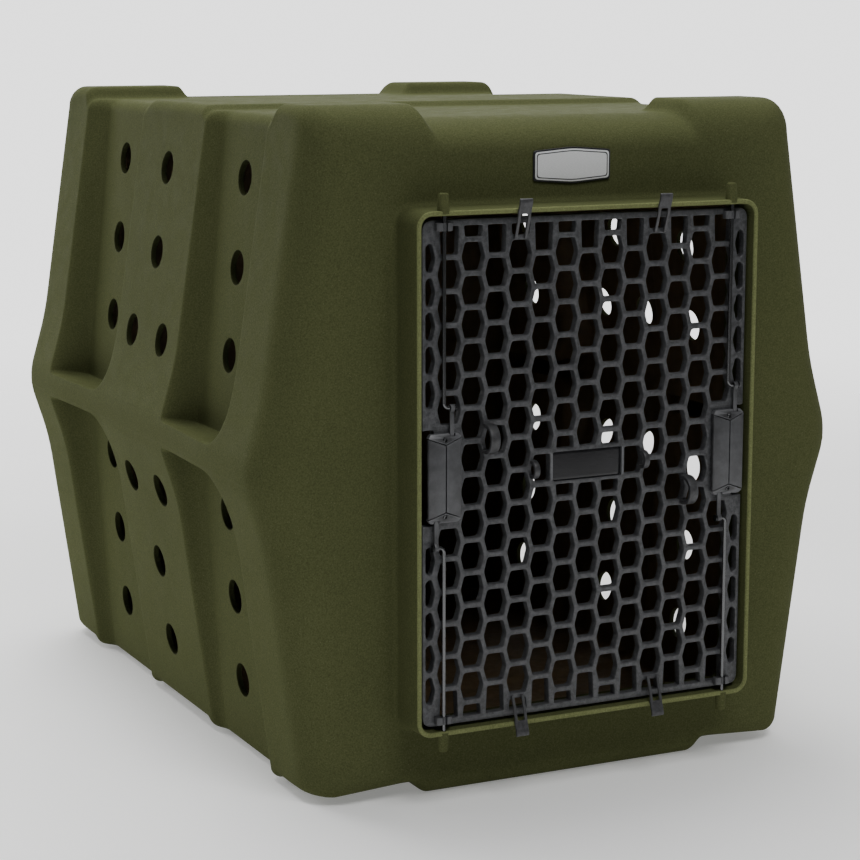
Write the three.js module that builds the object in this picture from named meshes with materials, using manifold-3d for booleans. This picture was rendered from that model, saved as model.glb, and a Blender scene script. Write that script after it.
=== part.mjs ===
// A rotomoulded pet transport carrier: a one-piece plastic body with a collar round its door mouth,
// and a removable honeycomb door held in that collar by four sprung rods, worked by two squeeze latches.
// Millimetres. +X right, the door towards -Y, +Z up. The origin is on the floor, under the middle of the
// overall box. Below, "depth" is the distance behind the flat front wall, so the collar has negative depths.
import * as THREE from 'three';
import { mergeVertices } from 'three/addons/utils/BufferGeometryUtils.js';
import Module from 'manifold-3d';

const wasm = await Module();
wasm.setup();

// ---- Driving dimensions: the body ----
const BODY_HEIGHT = 700;
const BODY_LENGTH = 815;           // front wall to rear wall
const FRONT_REACH = 61;            // the leash loops stand this far in front of the front wall
const FRONT_WALL_Y = FRONT_REACH - (BODY_LENGTH + FRONT_REACH) / 2;
const WALL = 6;                    // moulded wall thickness
const BELT_HEIGHT = 340;           // the widest level, where both halves of the mould meet
const BELT_ROUNDING = 24;
const BAND_OUTLINE = [[0, 282.9], [262, 319.1], [338, 343], [420, 319], [700, 276.4]]; // height, half-width
const CHANNEL_OUTLINE = [[0, 270.5], [340, 297.5], [700, 257.5]];                      // height, half-width
const BAND_EDGE = 116;             // the front and rear bands run this far in from their walls
const MID_BAND_HALF = 99;          // half of the middle band's length
const MID_BAND_INSET = 5.5;        // the middle band stands this much further in than the end bands
const CHANNEL_WALL = 24;           // run of a channel's side wall, fillets included
const RIDGE_HALF = 13.5;           // half-height of the belt ridge that parts upper and lower channels
const SHELF_RUN = 7;               // run of the shelf that ends each channel at the ridge
const CORNER_ROUND = 45;           // each channel's door-side corner at the ridge is rounded this much
const TOP_BASE = 686;              // general top level
const MID_TOP_RISE = 5.6;
const PAD_RISE = BODY_HEIGHT - TOP_BASE;
const PAD_INNER = 147;             // foot of the corner pads' inner ends, from the middle
const PAD_SLOPE = 14;
const FOOT_RISE = 13;              // the lower corners are cut up this far, to nest on the pads below
const FOOT_INNER = 153;
const FOOT_SLOPE = 25;
const SIDE_ROUND = 48;             // radius of the upright corners
const TOP_SETBACK = 69, TOP_DROP = 34;   // the front wall rolls back to the top over this run and height
const PAD_SETBACK = 54, PAD_DROP = 48;
const BOTTOM_ROUND = 18;
const TOP_EDGE_ROUND = 18, BOTTOM_EDGE_ROUND = 12;

// ---- Driving dimensions: vents ----
const VENT_RADIUS = 17.5;
const VENT_SIDES = 7;
const CHANNEL_VENT_ROWS = [82, 175, 267, 435, 527, 620];
const CHANNEL_VENT_DEPTH = 215;
const PAIR_ROWS = [267, 435];      // rows of the middle band that hold two vents
const PAIR_HALF = 49;

// ---- Driving dimensions: door collar ----
const COLLAR_REACH = 48;
const COLLAR_HALF = 194, COLLAR_LOW = 78, COLLAR_HIGH = 601;
const COLLAR_THICK = 6, COLLAR_CORNER = 16, COLLAR_FILLET = 8, LIP_ROUND = 1.5;

// ---- Driving dimensions: door ----
const DOOR_MIDDLE = 339.5;         // height of the door's centre
const DOOR_HALF_WIDTH = 185, DOOR_HALF_HEIGHT = 252.5, DOOR_CORNER = 11;
const DOOR_FRONT = -40, DOOR_THICK = 10;
const CELL_PITCH_X = 26, CELL_PITCH_Z = 33.2;
const CELL_COLUMNS = 6, CELL_ROWS = 7;       // on each side of the middle cell
const CELL_HALF_WIDTH = 11.7, CELL_HALF_FLAT = 9.2, CELL_HALF_HEIGHT = 13.8;
const SLIT_X = 176.3, SLIT_HALF_WIDTH = 5.3; // the narrow cells along the door's upright edges
const RAIL = 7;                    // solid rim of the door
const PLATE_HALF_WIDTH = 39.5, PLATE_HALF_HEIGHT = 14.5, PLATE_THICK = 2.2, PLATE_POCKET = 5;
const PLATE_FRAME = 3.6;           // the rib round the plate cuts into the cells beside it
const HOOK_X = 79.5, HOOK_WIDTH = 14, HOOK_SLOT = 5;
const LOOP_X = 114.8, LOOP_RISE = 35.8, LOOP_RADIUS = 15.2, LOOP_INNER = 11.2;
const LOOP_WIDTH = 10, LOOP_REACH = 20.7;
const LUG_X = 63.5, LUG_RADIUS = 9.5, LUG_INNER = 5.4, LUG_WIDTH = 6, LUG_REACH = 12;
const GUIDE_HALF_WIDTH = 8.5;
const LATCH_X = 163.8;             // the rods and the middle of each latch

// ---- Driving dimensions: latches and rods ----
const ROD_RADIUS = 2, ROD_DEPTH = -44, ROD_SIDES = 8;
const ROD_TIP = 266.5, ROD_LEG = 69.5;       // heights above the door's middle at rest
const LEG_REACH = 13;
const SOCKET_RADIUS = 2.9, SOCKET_SIDES = 12, SOCKET_TOP = 271.5;
const BOSS_RADIUS = 5, BOSS_TIP_RADIUS = 4.3, BOSS_HEIGHT = 17;
const BASE_HALF_WIDTH = 15, BASE_HALF_HEIGHT = 44.5, BASE_THICK = 3;
const END_BLOCK = 8.5;             // height of the raised block at each end of a latch base
const GRIP_HALF_WIDTH = 18.3, GRIP_HALF_HEIGHT = 35, GRIP_FRONT = -49.8, GRIP_SLOT = 0.7;
const BAR_OFFSET = 8.5, BAR_WIDTH = 4.5, BAR_THICK = 2.2, BAR_INNER = 13;
const EYE_RADIUS = 3.6, EYE_HOLE = 2.4;
const SPRING_RADIUS = 1.9, SPRING_LENGTH = 28;
const SCREW_RISE = 38.3, SCREW_RADIUS = 2.6;
const TRAVEL_TROUGH = 3.1;         // half-width of the troughs that the drawbars slide in
const GAP = 0.3;                   // standing gap between touching pieces

const COLOURS = {
  body: 0x4a4f31, badge: 0xd4d6d8, door: 0x37383a, plate: 0x111214, steel: 0xa9abae, latch: 0x3b3c3e,
  spring: 0x9a9c9f,
};

// ---- Small helpers ----
const mix = (a, b, t) => a + (b - a) * t;
const ease = (t) => { const u = Math.min(1, Math.max(0, t)); return u * u * (3 - 2 * u); };

function solid(geometry) {
  const bare = geometry.clone();
  bare.deleteAttribute('normal');
  bare.deleteAttribute('uv');
  const merged = mergeVertices(bare, 1e-4);
  return new wasm.Manifold(new wasm.Mesh({
    numProp: 3,
    vertProperties: new Float32Array(merged.attributes.position.array),
    triVerts: new Uint32Array(merged.index.array),
  }));
}

function geometryOf(manifold) {
  const mesh = manifold.getMesh();
  const geometry = new THREE.BufferGeometry();
  geometry.setAttribute('position', new THREE.BufferAttribute(mesh.vertProperties, 3));
  geometry.setIndex(new THREE.BufferAttribute(mesh.triVerts, 1));
  const flat = geometry.toNonIndexed();
  flat.computeVertexNormals();
  return flat;
}

const yOf = (depth) => FRONT_WALL_Y + depth;

function box(x0, x1, depth0, depth1, z0, z1) {
  const shape = new THREE.BoxGeometry(x1 - x0, depth1 - depth0, z1 - z0);
  return shape.translate((x0 + x1) / 2, yOf((depth0 + depth1) / 2), (z0 + z1) / 2);
}

// A cylinder or cone standing along Z.
function upright(x, depth, z0, z1, radius0, radius1 = radius0, sides = ROD_SIDES) {
  const shape = new THREE.CylinderGeometry(radius1, radius0, z1 - z0, sides);
  return shape.rotateX(Math.PI / 2).translate(x, yOf(depth), (z0 + z1) / 2);
}

function cylinderX(x0, x1, depth, z, radius, sides = ROD_SIDES) {
  const shape = new THREE.CylinderGeometry(radius, radius, x1 - x0, sides);
  return shape.rotateZ(Math.PI / 2).translate((x0 + x1) / 2, yOf(depth), z);
}

function cylinderY(x, depth0, depth1, z, radius, sides = ROD_SIDES) {
  const shape = new THREE.CylinderGeometry(radius, radius, depth1 - depth0, sides);
  return shape.translate(x, yOf((depth0 + depth1) / 2), z);
}

// An outline of [x, z] points, extruded from one depth to another.
function extrudeY(outline, depth0, depth1, curveSegments = 3) {
  const shape = outline instanceof THREE.Shape ? outline
    : new THREE.Shape(outline.map(([x, z]) => new THREE.Vector2(x, z)));
  const depth = depth1 - depth0;
  const body = new THREE.ExtrudeGeometry(shape, { depth, bevelEnabled: false, curveSegments });
  return body.rotateX(Math.PI / 2).translate(0, yOf(depth1), 0);
}

// An outline of [depth, z] points, extruded across x.
function extrudeX(outline, x0, x1) {
  const shape = new THREE.Shape(outline.map(([depth, z]) => new THREE.Vector2(yOf(depth), z)));
  const body = new THREE.ExtrudeGeometry(shape, { depth: x1 - x0, bevelEnabled: false });
  return body.applyMatrix4(new THREE.Matrix4().set(0, 0, 1, x0, 1, 0, 0, 0, 0, 1, 0, 0, 0, 0, 0, 1));
}

// An outline of [x, depth] points, extruded up Z.
function extrudeZ(outline, z0, z1) {
  const shape = new THREE.Shape(outline.map(([x, depth]) => new THREE.Vector2(x, yOf(depth))));
  const body = new THREE.ExtrudeGeometry(shape, { depth: z1 - z0, bevelEnabled: false });
  return body.translate(0, 0, z0);
}

// A closed body through loops that all have the same number of points, with a fan over each end.
function loft(loops) {
  const count = loops[0].length;
  const points = loops.flat();
  const index = [];
  for (let row = 0; row + 1 < loops.length; row++) {
    for (let i = 0; i < count; i++) {
      const a = row * count + i;
      const b = row * count + (i + 1) % count;
      index.push(a, b, a + count, b, b + count, a + count);
    }
  }
  for (const [row, turned] of [[0, true], [loops.length - 1, false]]) {
    const centre = points.length;
    points.push(loops[row].reduce((sum, p) => sum.map((v, k) => v + p[k] / count), [0, 0, 0]));
    for (let i = 0; i < count; i++) {
      const a = row * count + i;
      const b = row * count + (i + 1) % count;
      index.push(...(turned ? [b, a, centre] : [a, b, centre]));
    }
  }
  const geometry = new THREE.BufferGeometry();
  geometry.setAttribute('position', new THREE.BufferAttribute(new Float32Array(points.flat()), 3));
  geometry.setIndex(index);
  return geometry;
}

// ---- The body's surfaces, as functions of depth, height and inset from the outer skin ----
function along(outline, height) {
  for (let i = 1; i < outline.length; i++) {
    const [z0, w0] = outline[i - 1];
    const [z1, w1] = outline[i];
    if (height <= z1 || i === outline.length - 1) return mix(w0, w1, (height - z0) / (z1 - z0));
  }
}

// The outline's corners are rounded by averaging it over a short height.
function rounded(outline, height, spread) {
  const samples = 9;
  let total = 0;
  for (let i = 0; i < samples; i++) {
    total += along(outline, height + spread * (2 * (i + 0.5) / samples - 1));
  }
  return total / samples;
}

const nearestEnd = (depth) => Math.min(depth, BODY_LENGTH - depth);

function roundIn(distance, radius) {
  const left = Math.max(0, radius - distance);
  return radius - Math.sqrt(Math.max(0, radius * radius - left * left));
}

// 1 in the channels, 0 on the bands. Near the ridge a channel's door-side edge sweeps to the rear.
function channelMask(depth, z, inset) {
  const middle = BODY_LENGTH / 2;
  const near = depth < middle ? BAND_EDGE : middle + MID_BAND_HALF;
  const far = depth < middle ? middle - MID_BAND_HALF : BODY_LENGTH - BAND_EDGE;
  const sweep = roundIn(Math.max(0, Math.abs(z - BELT_HEIGHT) - RIDGE_HALF), CORNER_ROUND);
  return ease((depth - near - sweep + inset) / CHANNEL_WALL) * ease((far + inset - depth) / CHANNEL_WALL);
}

const ridgeMask = (z, inset) => ease((Math.abs(z - BELT_HEIGHT) - RIDGE_HALF + inset) / SHELF_RUN);
const MID_BAND_START = BODY_LENGTH / 2 - MID_BAND_HALF;
const midBlend = (depth) => ease((nearestEnd(depth) - BAND_EDGE) / (MID_BAND_START - BAND_EDGE));

function halfWidth(depth, z, inset) {
  const band = rounded(BAND_OUTLINE, z, BELT_ROUNDING) - MID_BAND_INSET * midBlend(depth);
  const channel = rounded(CHANNEL_OUTLINE, z, BELT_ROUNDING);
  const width = mix(band, channel, channelMask(depth, z, inset) * ridgeMask(z, inset));
  return width - inset - roundIn(nearestEnd(depth) - inset, SIDE_ROUND - inset);
}

// A level that rolls down to the wall over a run and a drop.
const rolled = (distance, run, drop) => drop * roundIn(distance, run) / run;

function bandEndMask(depth, inset) {
  return 1 - ease((nearestEnd(depth) - BAND_EDGE + PAD_SLOPE + inset) / PAD_SLOPE);
}

const midMask = (depth, inset) => ease((nearestEnd(depth) - MID_BAND_START - inset) / PAD_SLOPE);

function topLevel(depth, x, inset) {
  const d = nearestEnd(depth) - inset;
  const pad = ease((Math.abs(x) - PAD_INNER - inset) / PAD_SLOPE) * bandEndMask(depth, inset);
  const base = TOP_BASE + MID_TOP_RISE * midMask(depth, inset) - rolled(d, TOP_SETBACK - inset, TOP_DROP);
  return mix(base, BODY_HEIGHT - rolled(d, PAD_SETBACK - inset, PAD_DROP), pad) - inset;
}

function bottomLevel(depth, x, inset) {
  const foot = ease((Math.abs(x) - FOOT_INNER + inset) / FOOT_SLOPE) * bandEndMask(depth, -inset);
  const mid = midMask(depth, -inset);
  const d = nearestEnd(depth) - inset;
  return FOOT_RISE * foot + MID_TOP_RISE * mid + roundIn(d, BOTTOM_ROUND - inset) + inset;
}

// Where points sit round a section. Heights are shares of the way from an edge to the belt.
const LOWER_SHARES = [0, 0.35, 0.65, 0.82, 0.91, 0.937, 0.958];
const UPPER_SHARES = [0, 0.0415, 0.063, 0.1, 0.24, 0.6, 1];
const TOP_ARC = 4, BOTTOM_ARC = 3;

// A closed ring of points, right side first. The side, top and bottom are functions of height or x.
function ring(depth, side, top, bottom, topRound, bottomRound, topStops, bottomStops) {
  const right = [];
  const lowZ = bottom(side(bottomRound) - bottomRound) + bottomRound;
  const highZ = top(side(BODY_HEIGHT - topRound) - topRound) - topRound;
  const lowX = side(lowZ) - bottomRound;
  const highX = side(highZ) - topRound;
  for (const x of [...bottomStops].reverse()) right.push([x, bottom(x)]);
  for (let i = 0; i < BOTTOM_ARC; i++) {
    const a = (i / BOTTOM_ARC) * Math.PI / 2;
    right.push([lowX + bottomRound * Math.sin(a), lowZ - bottomRound * Math.cos(a)]);
  }
  for (const share of LOWER_SHARES) {
    const z = mix(lowZ, BELT_HEIGHT, share);
    right.push([side(z), z]);
  }
  for (const share of UPPER_SHARES) {
    const z = mix(BELT_HEIGHT, highZ, share);
    right.push([side(z), z]);
  }
  for (let i = 1; i <= TOP_ARC; i++) {
    const a = (i / TOP_ARC) * Math.PI / 2;
    right.push([highX + topRound * Math.cos(a), highZ + topRound * Math.sin(a)]);
  }
  for (const x of topStops) right.push([x, top(x)]);
  const left = [...right].reverse().map(([x, z]) => [-x, z]);
  const outline = [[0, bottom(0)], ...right, [0, top(0)], ...left];
  return outline.map(([x, z]) => [x, yOf(depth), z]);
}

const PAD_STOPS = [PAD_INNER + PAD_SLOPE, PAD_INNER];
const FOOT_STOPS = [FOOT_INNER + FOOT_SLOPE, FOOT_INNER];

function bodyRing(depth, inset) {
  const near = Math.max(0, 1 - (nearestEnd(depth) - inset) / TOP_SETBACK);
  return ring(
    depth,
    (z) => halfWidth(depth, z, inset),
    (x) => topLevel(depth, x, inset),
    (x) => bottomLevel(depth, x, inset),
    TOP_EDGE_ROUND - inset + 12 * near,
    BOTTOM_EDGE_ROUND - inset * 0.8 + 8 * near,
    PAD_STOPS,
    FOOT_STOPS,
  );
}

function collarRing(depth, grow) {
  return ring(
    depth,
    () => COLLAR_HALF + grow,
    () => COLLAR_HIGH + grow,
    () => COLLAR_LOW - grow,
    COLLAR_CORNER + grow,
    COLLAR_CORNER + grow,
    [150, 120],
    [150, 120],
  );
}

// Depths of the sections, front to rear. The inner skin's follow the outer skin's at one wall's distance.
function bodyStations(inset) {
  const cornerSteps = inset > 0 ? 3 : 4;
  const round = SIDE_ROUND - inset;
  const corner = Array.from({ length: cornerSteps + 1 }, (_, i) => (
    inset + round * (1 - Math.cos((i / cornerSteps) * Math.PI / 2))));
  const bandEdge = BAND_EDGE - inset;
  const midEdge = BODY_LENGTH / 2 - MID_BAND_HALF + inset;
  const half = [...corner, TOP_SETBACK, bandEdge - PAD_SLOPE, bandEdge, bandEdge + CHANNEL_WALL,
    bandEdge + CORNER_ROUND, midEdge - CORNER_ROUND, midEdge - CHANNEL_WALL, midEdge, midEdge + PAD_SLOPE];
  if (inset === 0) half.push(bandEdge + CHANNEL_WALL / 2, midEdge - CHANNEL_WALL / 2);
  half.sort((a, b) => a - b);
  return half.concat([...half].reverse().map((depth) => BODY_LENGTH - depth));
}


function ventCutters() {
  const cutters = [];
  const place = (z, depth) => {
    for (const side of [-1, 1]) {
      const x = side * 300;
      cutters.push(solid(cylinderX(x - 62, x + 62, depth, z, VENT_RADIUS, VENT_SIDES)));
    }
  };
  for (const z of CHANNEL_VENT_ROWS) {
    place(z, CHANNEL_VENT_DEPTH);
    place(z, BODY_LENGTH - CHANNEL_VENT_DEPTH);
    const spread = PAIR_ROWS.includes(z) ? [-PAIR_HALF, PAIR_HALF] : [0];
    for (const shift of spread) place(z, BODY_LENGTH / 2 + shift);
  }
  return cutters;
}

// Calls make(right, up) for each of the four places that the door's corners share.
function corners(make) {
  for (const right of [-1, 1]) for (const up of [-1, 1]) make(right, up);
}

function shellBody() {
  const loops = bodyStations(0).reverse().map((depth) => bodyRing(depth, 0));
  const inner = COLLAR_THICK;
  loops.push(
    collarRing(0, COLLAR_FILLET),
    collarRing(-COLLAR_FILLET, 1),
    collarRing(LIP_ROUND - COLLAR_REACH, 0),
    collarRing(-COLLAR_REACH, -LIP_ROUND),
    collarRing(-COLLAR_REACH, LIP_ROUND - inner),
    collarRing(LIP_ROUND - COLLAR_REACH, -inner),
    collarRing(WALL, -inner),
  );
  for (const depth of bodyStations(WALL)) loops.push(bodyRing(depth, WALL));
  let body = solid(loft(loops));
  if (body.volume() < 0) throw new Error('the body is inside out');
  for (const cutter of ventCutters()) body = body.subtract(cutter);
  corners((right, up) => {
    const x = right * LATCH_X;
    const edge = up > 0 ? COLLAR_HIGH : COLLAR_LOW;
    const z0 = edge - up * 2;
    const z1 = edge + up * BOSS_HEIGHT;
    const boss = up > 0 ? upright(x, ROD_DEPTH + 1, z0, z1, BOSS_RADIUS + 1, BOSS_TIP_RADIUS, SOCKET_SIDES)
      : upright(x, ROD_DEPTH + 1, z1, z0, BOSS_TIP_RADIUS, BOSS_RADIUS + 1, SOCKET_SIDES);
    body = body.add(solid(boss));
  });
  corners((right, up) => {
    const x = right * LATCH_X;
    const [z0, z1] = up > 0 ? [DOOR_MIDDLE + 240, DOOR_MIDDLE + SOCKET_TOP]
      : [DOOR_MIDDLE - SOCKET_TOP, DOOR_MIDDLE - 240];
    body = body.subtract(solid(upright(x, ROD_DEPTH, z0, z1, SOCKET_RADIUS, SOCKET_RADIUS, SOCKET_SIDES)));
    if (right > 0) {
      const slot = box(x - SOCKET_RADIUS, x + SOCKET_RADIUS, -COLLAR_REACH - 3, ROD_DEPTH, z0, z1);
      body = body.subtract(solid(slot));
    }
  });
  return geometryOf(body);
}

// ---- The door ----
function roundedRectangle(halfWidth, halfHeight, radius, middle) {
  const shape = new THREE.Shape();
  const x = halfWidth - radius;
  const z = halfHeight - radius;
  shape.absarc(x, middle + z, radius, 0, Math.PI / 2);
  shape.absarc(-x, middle + z, radius, Math.PI / 2, Math.PI);
  shape.absarc(-x, middle - z, radius, Math.PI, 1.5 * Math.PI);
  shape.absarc(x, middle - z, radius, 1.5 * Math.PI, 2 * Math.PI);
  return shape;
}

// True where a cell would run into a latch or a rod guide.
function blocked(x, up) {
  const inLatch = Math.abs(x) > 5.5 * CELL_PITCH_X && Math.abs(up) < BASE_HALF_HEIGHT + CELL_HALF_HEIGHT;
  const inGuide = Math.abs(x) > 5.5 * CELL_PITCH_X && Math.abs(up) > DOOR_HALF_HEIGHT - 25;
  return inLatch || inGuide;
}

// A whole cell is a tall hexagon; one that the rail cuts short is a rectangle.
function cellOutline(x, low, high) {
  const middle = (low + high) / 2;
  const whole = high - low > 1.9 * CELL_HALF_HEIGHT;
  const outline = [[x - CELL_HALF_FLAT, low], [x + CELL_HALF_FLAT, low]];
  if (whole) outline.push([x + CELL_HALF_WIDTH, middle]);
  outline.push([x + CELL_HALF_FLAT, high], [x - CELL_HALF_FLAT, high]);
  if (whole) outline.push([x - CELL_HALF_WIDTH, middle]);
  return outline;
}

// A narrow cell beside the door's upright edge, bulging inwards.
function slitOutline(side, middle) {
  const [inner, outer] = [-side * SLIT_HALF_WIDTH, side * SLIT_HALF_WIDTH].map((u) => side * SLIT_X + u);
  const half = CELL_HALF_HEIGHT;
  const outline = [[outer, middle - 0.8 * half], [outer, middle + 0.8 * half],
    [mix(inner, outer, 0.6), middle + half], [inner, middle], [mix(inner, outer, 0.6), middle - half]];
  return side > 0 ? outline : outline.reverse();
}

function cellCutters() {
  const cutters = [];
  const through = [DOOR_FRONT - 1, DOOR_FRONT + DOOR_THICK + 1];
  const frameX = PLATE_HALF_WIDTH + PLATE_FRAME, frameZ = PLATE_HALF_HEIGHT + PLATE_FRAME;
  const frame = solid(box(-frameX, frameX, DOOR_FRONT - 2, DOOR_FRONT + DOOR_THICK + 2,
    DOOR_MIDDLE - frameZ, DOOR_MIDDLE + frameZ));
  const limit = DOOR_HALF_HEIGHT - RAIL;
  for (let column = -CELL_COLUMNS; column <= CELL_COLUMNS; column++) {
    const x = column * CELL_PITCH_X;
    const shift = column % 2 === 0 ? 0 : CELL_PITCH_Z / 2;
    for (let row = -CELL_ROWS - 1; row <= CELL_ROWS; row++) {
      const up = row * CELL_PITCH_Z + shift;
      if (shift === 0 && Math.abs(row) > CELL_ROWS) continue;
      if (blocked(x, up)) continue;
      const low = DOOR_MIDDLE + Math.max(up - CELL_HALF_HEIGHT, -limit);
      const high = DOOR_MIDDLE + Math.min(up + CELL_HALF_HEIGHT, limit);
      if (high - low < 6) continue;
      const cell = solid(extrudeY(cellOutline(x, low, high), ...through)).subtract(frame);
      if (!cell.isEmpty()) cutters.push(cell);
    }
  }
  for (const side of [-1, 1]) {
    for (let row = -CELL_ROWS; row < CELL_ROWS; row++) {
      const up = (row + 0.5) * CELL_PITCH_Z;
      if (Math.abs(up) < BASE_HALF_HEIGHT + CELL_HALF_HEIGHT + 3) continue;
      cutters.push(solid(extrudeY(slitOutline(side, DOOR_MIDDLE + up), ...through)));
    }
  }
  return cutters;
}

function doorPanel() {
  const outline = roundedRectangle(DOOR_HALF_WIDTH, DOOR_HALF_HEIGHT, DOOR_CORNER, DOOR_MIDDLE);
  let panel = solid(extrudeY(outline, DOOR_FRONT, DOOR_FRONT + DOOR_THICK));
  for (const cutter of cellCutters()) panel = panel.subtract(cutter);
  const z = DOOR_MIDDLE;
  const pocket = box(-PLATE_HALF_WIDTH - 0.5, PLATE_HALF_WIDTH + 0.5,
    DOOR_FRONT - 1, DOOR_FRONT + PLATE_POCKET, z - PLATE_HALF_HEIGHT - 0.5, z + PLATE_HALF_HEIGHT + 0.5);
  panel = panel.subtract(solid(pocket));
  // Finger notches beside each latch.
  for (const side of [-1, 1]) {
    const [x0, x1] = side > 0 ? [LATCH_X + 9, DOOR_HALF_WIDTH + 2] : [-DOOR_HALF_WIDTH - 2, -LATCH_X - 9];
    const notch = box(x0, x1, DOOR_FRONT - 1, DOOR_FRONT + DOOR_THICK + 1, z - BASE_HALF_HEIGHT - 3,
      z + BASE_HALF_HEIGHT + 3);
    panel = panel.subtract(solid(notch));
  }
  return geometryOf(panel);
}

// A half ring on straight legs, standing forward from the door by its reach, its band across x.
function halfRing(x, up, radius, inner, width, reach) {
  const z = DOOR_MIDDLE + up;
  const steps = 8;
  const base = DOOR_FRONT - GAP;
  const centre = base - (reach - radius);
  const points = [[base, z + radius]];
  for (let i = 0; i <= steps; i++) {
    const a = (i / steps) * Math.PI;
    points.push([centre - radius * Math.sin(a), z + radius * Math.cos(a)]);
  }
  points.push([base, z - radius], [base, z - inner]);
  for (let i = steps; i >= 0; i--) {
    const a = (i / steps) * Math.PI;
    points.push([centre - inner * Math.sin(a), z + inner * Math.cos(a)]);
  }
  points.push([base, z + inner]);
  return extrudeX(points, x - width / 2, x + width / 2);
}

// A forked arm that reaches from the door face over the collar's lip, up or down.
function stopHook(x, up) {
  const lip = -COLLAR_REACH - 0.4;
  const at = (depth, rise) => [depth, DOOR_MIDDLE + up * rise];
  const base = DOOR_FRONT - GAP;
  const outline = [at(base, 231), at(base - 3, 231), at(-51.4, 256), at(-54.4, 263), at(-54.4, 271),
    at(-52, 271), at(-51.2, 264.5), at(lip, 258), at(lip, 253), at(base - 3.2, 236), at(base, 236)];
  const arm = solid(extrudeX(up > 0 ? outline : outline.reverse(), x - HOOK_WIDTH / 2, x + HOOK_WIDTH / 2));
  const rises = [DOOR_MIDDLE + up * 229, DOOR_MIDDLE + up * 255].sort((a, b) => a - b);
  const slot = box(x - HOOK_SLOT / 2, x + HOOK_SLOT / 2, -60, base + 1, rises[0], rises[1]);
  return geometryOf(arm.subtract(solid(slot)));
}

// A clip on the door that keeps a rod straight. Its mouth is open to the front.
function rodGuide(x, up) {
  const middle = DOOR_MIDDLE + up * 246;
  const base = DOOR_FRONT - GAP;
  const clip = solid(box(x - GUIDE_HALF_WIDTH, x + GUIDE_HALF_WIDTH, -47.4, base, middle - 4, middle + 4));
  const mouth = box(x - 2.5, x + 2.5, -60, ROD_DEPTH + 2.5, middle - 6, middle + 6);
  return geometryOf(clip.subtract(solid(mouth)));
}

// ---- Latches ----
// A rod with its foot bent across to the drawbar.
function rod(x, up) {
  const tip = DOOR_MIDDLE + up * ROD_TIP;
  const foot = DOOR_MIDDLE + up * ROD_LEG;
  const rises = [foot, tip].sort((p, q) => p - q);
  const reach = [x, x + up * LEG_REACH].sort((p, q) => p - q);
  const shaft = solid(upright(x, ROD_DEPTH, rises[0], rises[1], ROD_RADIUS));
  const leg = solid(cylinderX(reach[0], reach[1], ROD_DEPTH, foot, ROD_RADIUS));
  const elbow = solid(new THREE.SphereGeometry(ROD_RADIUS, ROD_SIDES, 6).translate(x, yOf(ROD_DEPTH), foot));
  return geometryOf(shaft.add(leg).add(elbow));
}

// A flat bar that slides in the latch base, with an eye that the rod's foot passes through.
function drawbar(x, up) {
  const bx = x + up * BAR_OFFSET;
  const rises = [DOOR_MIDDLE + up * BAR_INNER, DOOR_MIDDLE + up * (ROD_LEG - 1)].sort((a, b) => a - b);
  const half = BAR_WIDTH / 2;
  const bar = solid(box(bx - half, bx + half, ROD_DEPTH - BAR_THICK / 2, ROD_DEPTH + BAR_THICK / 2,
    rises[0], rises[1]));
  const eyeHeight = DOOR_MIDDLE + up * ROD_LEG;
  const eye = solid(cylinderX(bx - half, bx + half, ROD_DEPTH, eyeHeight, EYE_RADIUS,
    SOCKET_SIDES));
  const hole = solid(cylinderX(bx - BAR_WIDTH, bx + BAR_WIDTH, ROD_DEPTH, eyeHeight, EYE_HOLE,
    SOCKET_SIDES));
  return geometryOf(bar.add(eye).subtract(hole));
}

function latchBase(x) {
  const z = DOOR_MIDDLE;
  const back = DOOR_FRONT - GAP;
  const front = back - BASE_THICK;
  let base = solid(box(x - BASE_HALF_WIDTH, x + BASE_HALF_WIDTH, front, back,
    z - BASE_HALF_HEIGHT, z + BASE_HALF_HEIGHT));
  for (const up of [-1, 1]) {
    const rises = [z + up * (BASE_HALF_HEIGHT - END_BLOCK), z + up * BASE_HALF_HEIGHT].sort((a, b) => a - b);
    const half = BASE_HALF_WIDTH + 3;
    base = base.add(solid(box(x - half, x + half, -48.6, back, rises[0], rises[1])));
  }
  for (const up of [-1, 1]) {
    const bx = x + up * BAR_OFFSET;
    const ends = [z - up * (SPRING_LENGTH - BAR_INNER + 0.4), z + up * (BASE_HALF_HEIGHT + 1)];
    const rises = ends.sort((a, b) => a - b);
    const trough = box(bx - TRAVEL_TROUGH, bx + TRAVEL_TROUGH, -46.2, front + 1.6, rises[0], rises[1]);
    base = base.subtract(solid(trough));
    const hole = cylinderY(x, -50, back + 1, z + up * SCREW_RISE, SCREW_RADIUS + 0.4, SOCKET_SIDES);
    base = base.subtract(solid(hole));
  }
  return geometryOf(base);
}

// One hinged grip wing: side is -1 for the left wing, +1 for the right.
function grip(x, side) {
  const at = (lateral, depth) => [x + side * lateral, depth];
  const outline = [at(GRIP_SLOT, GRIP_FRONT), at(16.6, -47.6),
    at(GRIP_HALF_WIDTH, -46), at(GRIP_HALF_WIDTH, -43),
    at(16.4, -43), at(16.4, -46), at(2.6, -47.7), at(GRIP_SLOT, -47.7)];
  return extrudeZ(side > 0 ? outline : outline.reverse(),
    DOOR_MIDDLE - GRIP_HALF_HEIGHT, DOOR_MIDDLE + GRIP_HALF_HEIGHT);
}

function spring(x, up) {
  const bx = x + up * BAR_OFFSET;
  const ends = [BAR_INNER - GAP, BAR_INNER - SPRING_LENGTH].map((rise) => DOOR_MIDDLE + up * rise);
  const rises = ends.sort((a, b) => a - b);
  const outer = solid(upright(bx, ROD_DEPTH, rises[0], rises[1], SPRING_RADIUS));
  const bore = solid(upright(bx, ROD_DEPTH, rises[0] - 1, rises[1] + 1, SPRING_RADIUS - 0.7));
  return geometryOf(outer.subtract(bore));
}

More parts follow.
